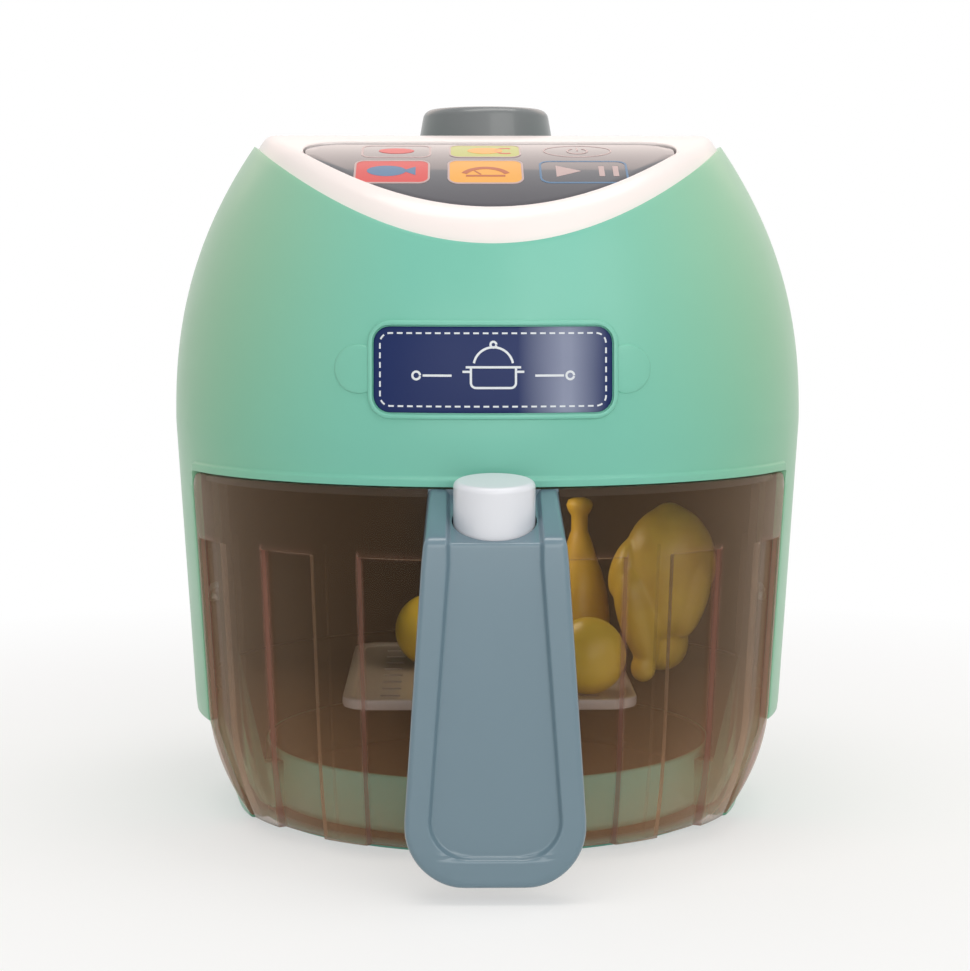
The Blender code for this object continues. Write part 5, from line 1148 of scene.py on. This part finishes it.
def flute_field(azimuth, z, widen=0.0):
    """Depth of the flutes: FLUTE_DEPTH times smoothsteps across each flute's two sides and its top."""
    sides = np.zeros_like(azimuth)
    for start, end in FLUTES:
        left = (np.abs(azimuth) - start) * BELLY_RADIUS + widen
        right = (end - np.abs(azimuth)) * BELLY_RADIUS + widen
        sides = np.maximum(sides, smoothstep(left / FLUTE_STEP + 0.5) * smoothstep(right / FLUTE_STEP + 0.5))
    return FLUTE_DEPTH * sides * (1 - smoothstep((z - FLUTE_TOP - widen) / FLUTE_STEP + 0.5))


def flute_line(azimuth, z):
    """1 on a flute's outer side wall, weaker on its inner wall and its top, and 0 elsewhere."""
    shown = np.zeros_like(azimuth)
    below = z < FLUTE_TOP + FLUTE_STEP
    for start, end in FLUTES:
        for edge, weight in ((start, START_WEIGHT), (end, END_WEIGHT)):
            away = (np.abs(azimuth) - edge) * BELLY_RADIUS / LINE_WIDTH
            shown = np.maximum(shown, weight * np.exp(-away ** 2) * below)
        within = (np.abs(azimuth) > start) & (np.abs(azimuth) < end)
        shown = np.maximum(shown, TOP_WEIGHT * within * np.exp(-((z - FLUTE_TOP) / LINE_END) ** 2))
    return shown


def drawer_window():
    """Smoked front: the barrel's surface minus the flutes, with a wall of even thickness.

    Each loop stands at one azimuth and runs up the outside and down the inside; loops and levels lie close
    together where a flute begins or ends.
    """
    near = np.linspace(-0.5, 0.5, 7) * FLUTE_STEP / BELLY_RADIUS
    grow = WINDOW_WALL / BELLY_RADIUS
    marks = [np.linspace(0, WINDOW_ANGLE, 60), corner_columns(WINDOW_ANGLE)]
    for start, end in FLUTES:
        marks += [start + near, end + near, start - grow + near, end + grow + near]
    marks = np.unique(np.round(np.concatenate(marks), 7))
    marks = marks[marks <= WINDOW_ANGLE]
    azimuth = np.concatenate([-marks[:0:-1], marks])
    step = np.linspace(-0.5, 0.5, 6) * FLUTE_STEP
    z = np.concatenate([np.linspace(WINDOW_LOW, FLUTE_TOP - 1 * MM, 40), FLUTE_TOP + step,
                        FLUTE_TOP + WINDOW_WALL + step, np.linspace(84, 90.6, 5) * MM])
    drop = corner_drop(azimuth, WINDOW_ANGLE)[:, None]
    levels = np.broadcast_to(z, (len(azimuth), len(z)))
    turned_in = np.array([(0.45, 0.0), (0.15, 0.08), (0.0, 0.4)]) * MM
    top = WINDOW_HIGH - drop
    outside_z = np.concatenate([levels, top - turned_in[None, :, 0]], axis=1)
    inset = np.concatenate([np.zeros(len(z)), turned_in[:, 1]])
    mark = np.broadcast_to(azimuth[:, None], outside_z.shape)
    around = flute_azimuth(mark, outside_z)
    outside = polar(around, barrel(outside_z) - flute_field(mark, outside_z) - inset, outside_z)
    inner_radius = barrel(outside_z) - WINDOW_WALL - flute_field(mark, outside_z, WINDOW_WALL) + inset
    inside = polar(around, inner_radius, outside_z)
    window = joined("window_skin", [capped(np.concatenate([outside, inside[:, ::-1]], axis=1))], SMOKE, 60)

    def lining(x, y, z):
        depth = barrel(z) - np.hypot(x, y) - flute_field(flute_mark(np.arctan2(x, -y), z), z)
        return depth > WINDOW_WALL / 2

    paint(window, "lining", lining)
    paint(window, "line", lambda x, y, z: flute_line(flute_mark(np.arctan2(x, -y), z), z) * ~lining(x, y, z))
    finish_piece(window, "drawer", ["drawer_window"])


TRAY_RADIUS, TRAY_WALL, TRAY_FLOOR, TRAY_RIM = 62.7 * MM, 2 * MM, 2.8 * MM, 18.3 * MM
POST_TURN, POST_CLEARANCE = math.radians(4), 0.5 * MM
POST_DEPTH, FOOT_DEPTH, BAR_DEPTH = 2.4 * MM, 1.2 * MM, 1.8 * MM


def drawer_tray():
    """Round pan, and the frame of two posts and a curved bar that stands behind the window's edges."""
    bore, floor = TRAY_RADIUS - TRAY_WALL, TRAY_FLOOR + TRAY_WALL
    ends = [(0, TRAY_FLOOR), (TRAY_RADIUS, TRAY_FLOOR), (TRAY_RADIUS, TRAY_RIM), (bore, TRAY_RIM),
            (bore, floor), (0, floor)]
    profile = rounded(ends, {1: 2.6 * MM, 2: 0.8 * MM, 3: 0.8 * MM, 4: 2 * MM})
    grids = [polar(full_turn(144)[:, None], profile[None, :, 0], profile[None, :, 1])]
    recess = WINDOW_WALL + FLUTE_DEPTH + POST_CLEARANCE
    post = np.linspace(floor, WINDOW_HIGH, 20)
    foot = np.linspace(TRAY_FLOOR + 1 * MM, TRAY_RIM - 2 * MM, 6)
    foot_inside = float(barrel(TRAY_RIM)) - TRAY_RADIUS + TRAY_WALL / 2
    for side in (-1, 1):
        azimuths = side * np.linspace(WINDOW_ANGLE - POST_TURN, WINDOW_ANGLE, 6)
        grids.append(barrel_layer(azimuths, post, recess + POST_DEPTH, recess))
        grids.append(barrel_layer(azimuths, foot, foot_inside, recess + FOOT_DEPTH))
    turns = np.linspace(-1, 1, 61) * (WINDOW_ANGLE - POST_TURN / 3)
    bar = WINDOW_HIGH - np.array([2.4, 2.1, 0.6, 0.3]) * MM
    grids.append(barrel_layer(turns, bar, recess + BAR_DEPTH, WINDOW_WALL + POST_CLEARANCE))
    tray = joined("tray_pan", grids, MINT)

    # Painted shade: the pan's inside, and the posts and bar above its rim, are marked for the dark brown of
    # the chamber's shade.
    def lining(x, y, z):
        in_pan = (np.hypot(x, y) < TRAY_RADIUS - TRAY_WALL / 2) & (z > TRAY_FLOOR)
        return (z > TRAY_RIM + 0.5 * MM) | in_pan

    paint(tray, "soot", lining)
    finish_piece(tray, "drawer", ["drawer_tray"])


RACK_DEPTH, RACK_CORNER, RACK_BORDER = 3 * MM, 8 * MM, 6 * MM
RACK_COLUMNS, RACK_ROWS, SLOT_HALF_LENGTH, SLOT_HALF_WIDTH = 5, 8, 2.75 * MM, 1.2 * MM
LEG_RADIUS, LEG_X, LEG_INSET = 3 * MM, 13.5 * MM, 9 * MM


def grill_rack():
    """Slotted plate on four legs: its profile runs over a raised rim into a shallow well."""
    low, high = (np.array(corner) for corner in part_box("grill_rack"))
    middle, half = (low + high) / 2, (high - low) / 2
    bottom = high[2] - RACK_DEPTH

    def flat(x, y, height):
        return points_at(x, y, height + bottom)

    outline = offset_rectangle(half[0], half[1], RACK_CORNER)
    profile = np.array([(-1.0, 0), (-0.3, 0.2), (0, 0.8), (0, 2.3), (-0.15, 2.75), (-0.5, 2.95), (-1.0, 3.0),
                        (-2.0, 3.0), (-2.5, 2.9), (-2.9, 2.5), (-3.2, 2.1), (-3.7, 2.0)]) * MM
    rack = joined("rack_plate", [plate_loops(outline, profile, flat, middle[:2])], PALE)
    slots = []
    pitch = 2 * (half[:2] - RACK_BORDER) / (RACK_COLUMNS, RACK_ROWS)
    slot = rectangle(SLOT_HALF_LENGTH, SLOT_HALF_WIDTH, 0.6 * MM, 3)
    for column in range(RACK_COLUMNS):
        for row in range(RACK_ROWS):
            steps = (column - (RACK_COLUMNS - 1) / 2, row - (RACK_ROWS - 1) / 2)
            slots.append(prism(slot + (middle[:2] + steps * pitch), flat, -MM, RACK_DEPTH + MM))
    cut_away(rack, "slots", joined("tool", slots, PALE))
    finish_piece(rack, "drawer", ["grill_rack"])

    legs = []
    for side in (-1, 1):
        for end in (-1, 1):
            place = (side * LEG_X, middle[1] + end * (half[1] - LEG_INSET))
            legs.append(upright(LEG_RADIUS, low[2], bottom + 0.5 * MM, place))
    finish_piece(joined("rack_legs", legs, PALE), "drawer")


# Handle and button

# Depths and heights of the face's ends, and half-widths of the grip and of the tongue sunk in it by height
FACE_TOP, FACE_LOW = np.array((-109.7, 86.0)) * MM, np.array((-114.0, 4.0)) * MM
HANDLE_LOW, HANDLE_HIGH, GRIP_CORNER = 4 * MM, 95.4 * MM, 14.5 * MM
GRIP_HEIGHTS = np.array((20, 80, HANDLE_HIGH / MM)) * MM
GRIP_HALF_WIDTHS = np.array((21.4, 17.35, 15.9)) * MM
TONGUE_HALF_WIDTHS = np.array((15.4, 11.0)) * MM
TONGUE_DEPTH, TONGUE_LOW, TONGUE_CORNER, TONGUE_STEP = 1.5 * MM, 11 * MM, 9 * MM, 1.2 * MM
EDGE, BROW_BEND, BROW_BACK = 1.5 * MM, 2.5 * MM, -85.2 * MM
NECK_BOTTOM, NECK_FILLET, SEAM_DEPTH = 64 * MM, 5 * MM, 7.5 * MM
FACE_LEAN = (FACE_TOP[0] - FACE_LOW[0]) / (FACE_TOP[1] - FACE_LOW[1])
# Heights along the button's axis, from its top, and radii about it
POCKET_RADIUS, POCKET_LOW, POCKET_HIGH = 10.2 * MM, -23 * MM, 12 * MM
BUTTON_RADIUS, BUTTON_BORE, BUTTON_SKIRT, BUTTON_CROWN = 9.8 * MM, 6.6 * MM, -16 * MM, -4 * MM
SPRING_SEAT, SPRING_RADIUS, SPRING_WIRE, SPRING_TURNS = -22.5 * MM, 5 * MM, 0.5 * MM, 5


def half_width(z, low, corner, heights, widths):
    """Half-width of a tapered outline at a height, drawn in along the quarter circle of its lower corners."""
    straight = np.interp(z, heights, widths)
    below = np.clip(low + corner - z, 0, corner)
    return straight - corner + np.sqrt(corner ** 2 - below ** 2)


def depth_inside(x, z, wide, low, corner):
    """Distance from the outline inwards: that of a box with round lower corners."""
    across = np.abs(x) - (wide - corner)
    down = low + corner - z
    outer = np.hypot(np.maximum(across, 0), np.maximum(down, 0))
    return corner - outer - np.minimum(np.maximum(across, down), 0)


def handle_profile():
    """Side view of the handle's face, up over the brow and back to the window, and its outward normals.

    Its heights lie close together at the tongue's foot and round corners and at the neck's fillet.
    """
    slope = (HANDLE_HIGH - FACE_TOP[1]) / (-FACE_TOP[0] - float(barrel(HANDLE_HIGH)))
    start = np.array((BROW_BACK, FACE_TOP[1] + slope * (BROW_BACK - FACE_TOP[0])))
    bend = rounded([start, FACE_TOP, FACE_LOW], {1: BROW_BEND}, 10)[1:-1][::-1]
    lower = np.concatenate([np.linspace(4, 5.6, 8), np.linspace(6, 9.8, 5), np.linspace(10, 12.4, 9),
                            np.linspace(12.8, 22, 16), np.linspace(23.5, 58.5, 16), np.linspace(59, 64, 7),
                            np.linspace(64.001, 84, 12)]) * MM
    share = (lower - FACE_LOW[1]) / (FACE_TOP[1] - FACE_LOW[1])
    face = FACE_LOW + (FACE_TOP - FACE_LOW) * share[:, None]
    face = face[face[:, 1] < bend[0][1]]
    back = bend[-1] + (start - bend[-1]) * np.linspace(0.06, 1, 16)[:, None]
    path = np.concatenate([face, bend, back])
    ahead = np.gradient(path, axis=0)
    normal = np.stack([-ahead[:, 1], ahead[:, 0]], -1)
    return path, normal / np.linalg.norm(normal, axis=1, keepdims=True)


def handle_shell():
    """Neck and grip.

    Each loop starts from one point of the side view. Its front runs across the width and is sunk along the
    face's normal: by a quarter round of radius EDGE within that distance of the outline, and by TONGUE_DEPTH
    inside the tongue. Its rear is the seam plane of the grip, the fillet under the neck, or the window's
    curve.
    """
    path, normal = handle_profile()
    y, z = path[:, :1], path[:, 1:]
    wide = np.interp(z, GRIP_HEIGHTS, GRIP_HALF_WIDTHS)
    half = half_width(z, HANDLE_LOW, GRIP_CORNER, GRIP_HEIGHTS, GRIP_HALF_WIDTHS)
    tongue_wide = np.interp(z, GRIP_HEIGHTS[:2], TONGUE_HALF_WIDTHS)
    tongue = half_width(np.maximum(z, TONGUE_LOW), TONGUE_LOW, TONGUE_CORNER, GRIP_HEIGHTS[:2],
                        TONGUE_HALF_WIDTHS)
    tongue = np.minimum(tongue, half - 2 * EDGE)
    stops = [0 * half, tongue - TONGUE_STEP, tongue + 1.0 * MM, half - EDGE, half]
    counts = (6, 10, 3, 8)
    columns = [first + (second - first) * np.linspace(0, 1, count, endpoint=False)
               for first, second, count in zip(stops, stops[1:], counts)]
    right = np.concatenate(columns + [half], axis=1)
    x = np.concatenate([-right[:, :0:-1], right], axis=1)
    inside = depth_inside(x, z, wide, HANDLE_LOW, GRIP_CORNER)
    edge = np.clip(EDGE - inside, 0, EDGE)
    sunk = EDGE - np.sqrt(EDGE ** 2 - edge ** 2)
    inner = depth_inside(x, z, tongue_wide, TONGUE_LOW, TONGUE_CORNER)
    sunk = sunk + TONGUE_DEPTH * smoothstep(inner / TONGUE_STEP + 0.5)
    front = points_at(x, y - normal[:, :1] * sunk, z - normal[:, 1:] * sunk)
    window_y = -np.sqrt((barrel(front[..., 2]) + GAP) ** 2 - x ** 2)
    front[..., 1] = np.minimum(front[..., 1], window_y)

    across = half * np.linspace(1, -1, 9)[None, :]
    face_y = FACE_LOW[0] + (z - FACE_LOW[1]) * FACE_LEAN
    rise = np.clip(z - NECK_BOTTOM + NECK_FILLET, 0, NECK_FILLET)
    seam = face_y + SEAM_DEPTH + NECK_FILLET - np.sqrt(NECK_FILLET ** 2 - rise ** 2)
    behind = np.where(z > NECK_BOTTOM, -np.sqrt((barrel(z) + GAP) ** 2 - across ** 2), seam)
    rear = points_at(across, behind, z)
    handle = joined("handle_front", [capped(np.concatenate([front, rear], axis=1))], SLATE, 38)

    pocket = [(0, POCKET_LOW), (POCKET_RADIUS, POCKET_LOW), (POCKET_RADIUS, POCKET_HIGH), (0, POCKET_HIGH)]
    cut_away(handle, "pocket", lathe("tool", pocket, SLATE, 96, BUTTON_TOP, BUTTON_TILT))
    finish_piece(handle, "drawer", ["handle_shell"])


def handle_back():
    """Cover that closes the grip from behind: the grip's outline below the neck, with a rounded rear edge."""
    low, high = HANDLE_LOW, NECK_BOTTOM - NECK_FILLET - GAP
    wide, narrow = GRIP_HALF_WIDTHS[0], float(np.interp(high, GRIP_HEIGHTS[:2], GRIP_HALF_WIDTHS[:2]))
    ends = [(-wide, low), (wide, low), (wide, GRIP_HEIGHTS[0]), (narrow, high), (-narrow, high),
            (-wide, GRIP_HEIGHTS[0])]
    base = refined(rounded(ends, {0: GRIP_CORNER, 1: GRIP_CORNER, 3: 0.6 * MM, 4: 0.6 * MM}, 12), 2 * MM)
    ahead = np.roll(base, -1, axis=0) - np.roll(base, 1, axis=0)
    normal = np.stack([ahead[:, 1], -ahead[:, 0]], -1) / np.linalg.norm(ahead, axis=1, keepdims=True)
    middle = np.array((0.0, (low + high) / 2))

    def outline(grow):
        return base + normal * grow - middle

    def lift(x, z, depth):
        return points_at(x, FACE_LOW[0] + (z - FACE_LOW[1]) * FACE_LEAN + depth, z)

    profile = np.array([(0, 7.8), (0, 8.8), (-0.12, 9.3), (-0.45, 9.75), (-1.0, 10.0)]) * MM
    back = joined("handle_rear", [plate_loops(outline, profile, lift, middle, 6)], SLATE)
    finish_piece(back, "drawer", ["handle_back"])


def release_button():
    """White button, hollow and turned on its leaning axis, with a flat top and a rounded edge."""
    ends = [(BUTTON_RADIUS, BUTTON_SKIRT), (BUTTON_RADIUS, 0), (BUTTON_RADIUS - 4 * MM, 0), (0, 0),
            (0, BUTTON_CROWN), (BUTTON_BORE, BUTTON_CROWN), (BUTTON_BORE, BUTTON_SKIRT)]
    profile = rounded(ends, {0: 0.3 * MM, 1: 1.5 * MM}, 9)
    button = lathe("button_cap", profile, FROST, 120, BUTTON_TOP, BUTTON_TILT)
    finish_piece(button, "release_button", ["release_button"])


def button_spring():
    """Coil in the handle's pocket, which flattens along its leaning axis as the button is pressed."""
    low, high = SPRING_SEAT + 2 * SPRING_WIRE, BUTTON_CROWN - 2 * SPRING_WIRE
    turn = np.linspace(0, SPRING_TURNS * TAU, 161)
    rise = np.linspace(low, high, len(turn))[:, None]
    around = full_turn(10)[None, :]
    reach = SPRING_RADIUS + SPRING_WIRE * np.cos(around)
    x, y = reach * np.sin(turn)[:, None], -reach * np.cos(turn)[:, None]
    loops = leaned(x, y, rise + SPRING_WIRE * np.sin(around), BUTTON_TILT) + np.array(BUTTON_TOP)
    coil = tube("spring_coil", loops, STEEL, angle=60)
    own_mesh(coil)
    finish_piece(coil, "drawer", ["button_spring"])


# Play food

BIRD_VOXEL, BIRD_SMOOTHS, BALL_SHARE = 0.7 * MM, 9, 0.995


def lobe_loops(centre, halves, lean=(0.0, 0.0), taper=0.0, steps=32):
    """Loops of an egg: a ball scaled by halves, narrowed upwards by a taper, leaning about Y and then X."""
    rise = np.linspace(-math.pi / 2, math.pi / 2, steps // 2)[:, None]
    turn = full_turn(steps)[None, :]
    width = 1 - taper * np.sin(rise)
    x = halves[0] * np.cos(rise) * np.cos(turn) * width
    y = halves[1] * np.cos(rise) * np.sin(turn) * width
    z = halves[2] * np.sin(rise)
    x, z = x * math.cos(lean[0]) + z * math.sin(lean[0]), z * math.cos(lean[0]) - x * math.sin(lean[0])
    y, z = y * math.cos(lean[1]) - z * math.sin(lean[1]), z * math.cos(lean[1]) + y * math.sin(lean[1])
    return points_at(x, y, z) + centre


def melt(item, voxel, smooths):
    """Grow a piece's lobes into one skin, and smooth the folds where they met."""
    skin = item.modifiers.new("skin", "REMESH")
    skin.mode, skin.voxel_size, skin.use_smooth_shade = "VOXEL", voxel, True
    soft = item.modifiers.new("soft", "SMOOTH")
    soft.factor, soft.iterations = 0.5, smooths
    settle(item, 80)


def roast_chicken():
    """Plump bird that stands on one leg's foot: its lobes, placed by shares of its box, grown into one skin.

    Each lobe has its middle, half sizes, leans and taper.
    """
    low, high = (np.array(corner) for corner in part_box("roast_chicken"))
    middle, half = (low + high) / 2, (high - low) / 2
    shares = {"breast": ((0.08, 0.0, 0.2), (0.84, 0.9, 0.76), (0.12, 0.0), -0.1),
              "neck": ((0.14, 0.0, 0.8), (0.34, 0.4, 0.19), (0.3, 0.0), 0.0),
              "leg_left": ((-0.46, -0.34, -0.3), (0.36, 0.5, 0.6), (-0.24, 0.1), -0.22),
              "leg_right": ((0.5, -0.3, -0.02), (0.34, 0.46, 0.5), (0.16, 0.08), -0.2),
              "foot_left": ((-0.36, -0.3, -0.84), (0.24, 0.3, 0.16), (0.0, 0.0), 0.0),
              "wing_left": ((-0.72, -0.1, 0.26), (0.24, 0.5, 0.34), (0.26, 0.0), 0.1),
              "wing_right": ((0.78, 0.0, 0.4), (0.2, 0.5, 0.34), (-0.12, 0.0), 0.1),
              "tail": ((0.02, 0.28, -0.5), (0.5, 0.5, 0.42), (0.0, 0.0), 0.2)}
    lobes = [lobe_loops(middle + half * place, half * size, lean, taper)
             for place, size, lean, taper in shares.values()]
    bird = joined("roast_bird", lobes, ROAST)
    melt(bird, BIRD_VOXEL, BIRD_SMOOTHS)
    finish_piece(bird, "drawer", ["roast_chicken"])


def drumstick():
    """Drumstick on its thick end: a smooth line through shares of its width and height, bone on top."""
    low, high = (np.array(corner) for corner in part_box("drumstick"))
    middle, tall = (low + high) / 2, high[2] - low[2]
    thick = (high[0] - low[0]) / 2
    levels = np.array((0.0, 0.03, 0.1, 0.2, 0.32, 0.46, 0.58, 0.68, 0.76, 0.8))
    widths = np.array((0.35, 0.66, 0.88, 0.98, 0.99, 0.9, 0.72, 0.52, 0.38, 0.3))
    fine = np.linspace(0, 0.8, 40)
    flesh = np.stack([np.interp(fine, levels, widths) * thick, fine * tall], -1)
    flesh[1:-1, 0] = (flesh[:-2, 0] + 2 * flesh[1:-1, 0] + flesh[2:, 0]) / 4
    bone = np.array([(0.27, 0.81), (0.27, 0.9), (0.38, 0.93), (0.43, 0.96), (0.36, 0.99), (0.2, 1), (0, 1)])
    profile = np.concatenate([[(0, 0)], flesh, bone * (thick, tall)])
    stick = lathe("drumstick_body", profile, ROAST, 56, (middle[0], middle[1], low[2]), angle=80)
    finish_piece(stick, "drawer", ["drumstick"])


def potatoes():
    """Two round potatoes, each a ball fitted in its box."""
    for index in (1, 2):
        low, high = (np.array(corner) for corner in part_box(f"potato_{index}"))
        loops = lobe_loops((low + high) / 2, (high - low) / 2 * BALL_SHARE, steps=56)
        ball = joined(f"potato_{index}_skin", [loops], YOLK, 80)
        finish_piece(ball, "drawer", [f"potato_{index}"])


dress_nodes()
front_shell()
rear_shell()
badge()
top_bezel()
control_panel()
battery_door()
base_pan()
rear_deck()
mist_cap()
mist_well()
drawer_window()
drawer_tray()
grill_rack()
handle_shell()
handle_back()
release_button()
button_spring()
roast_chicken()
drumstick()
potatoes()
stage()
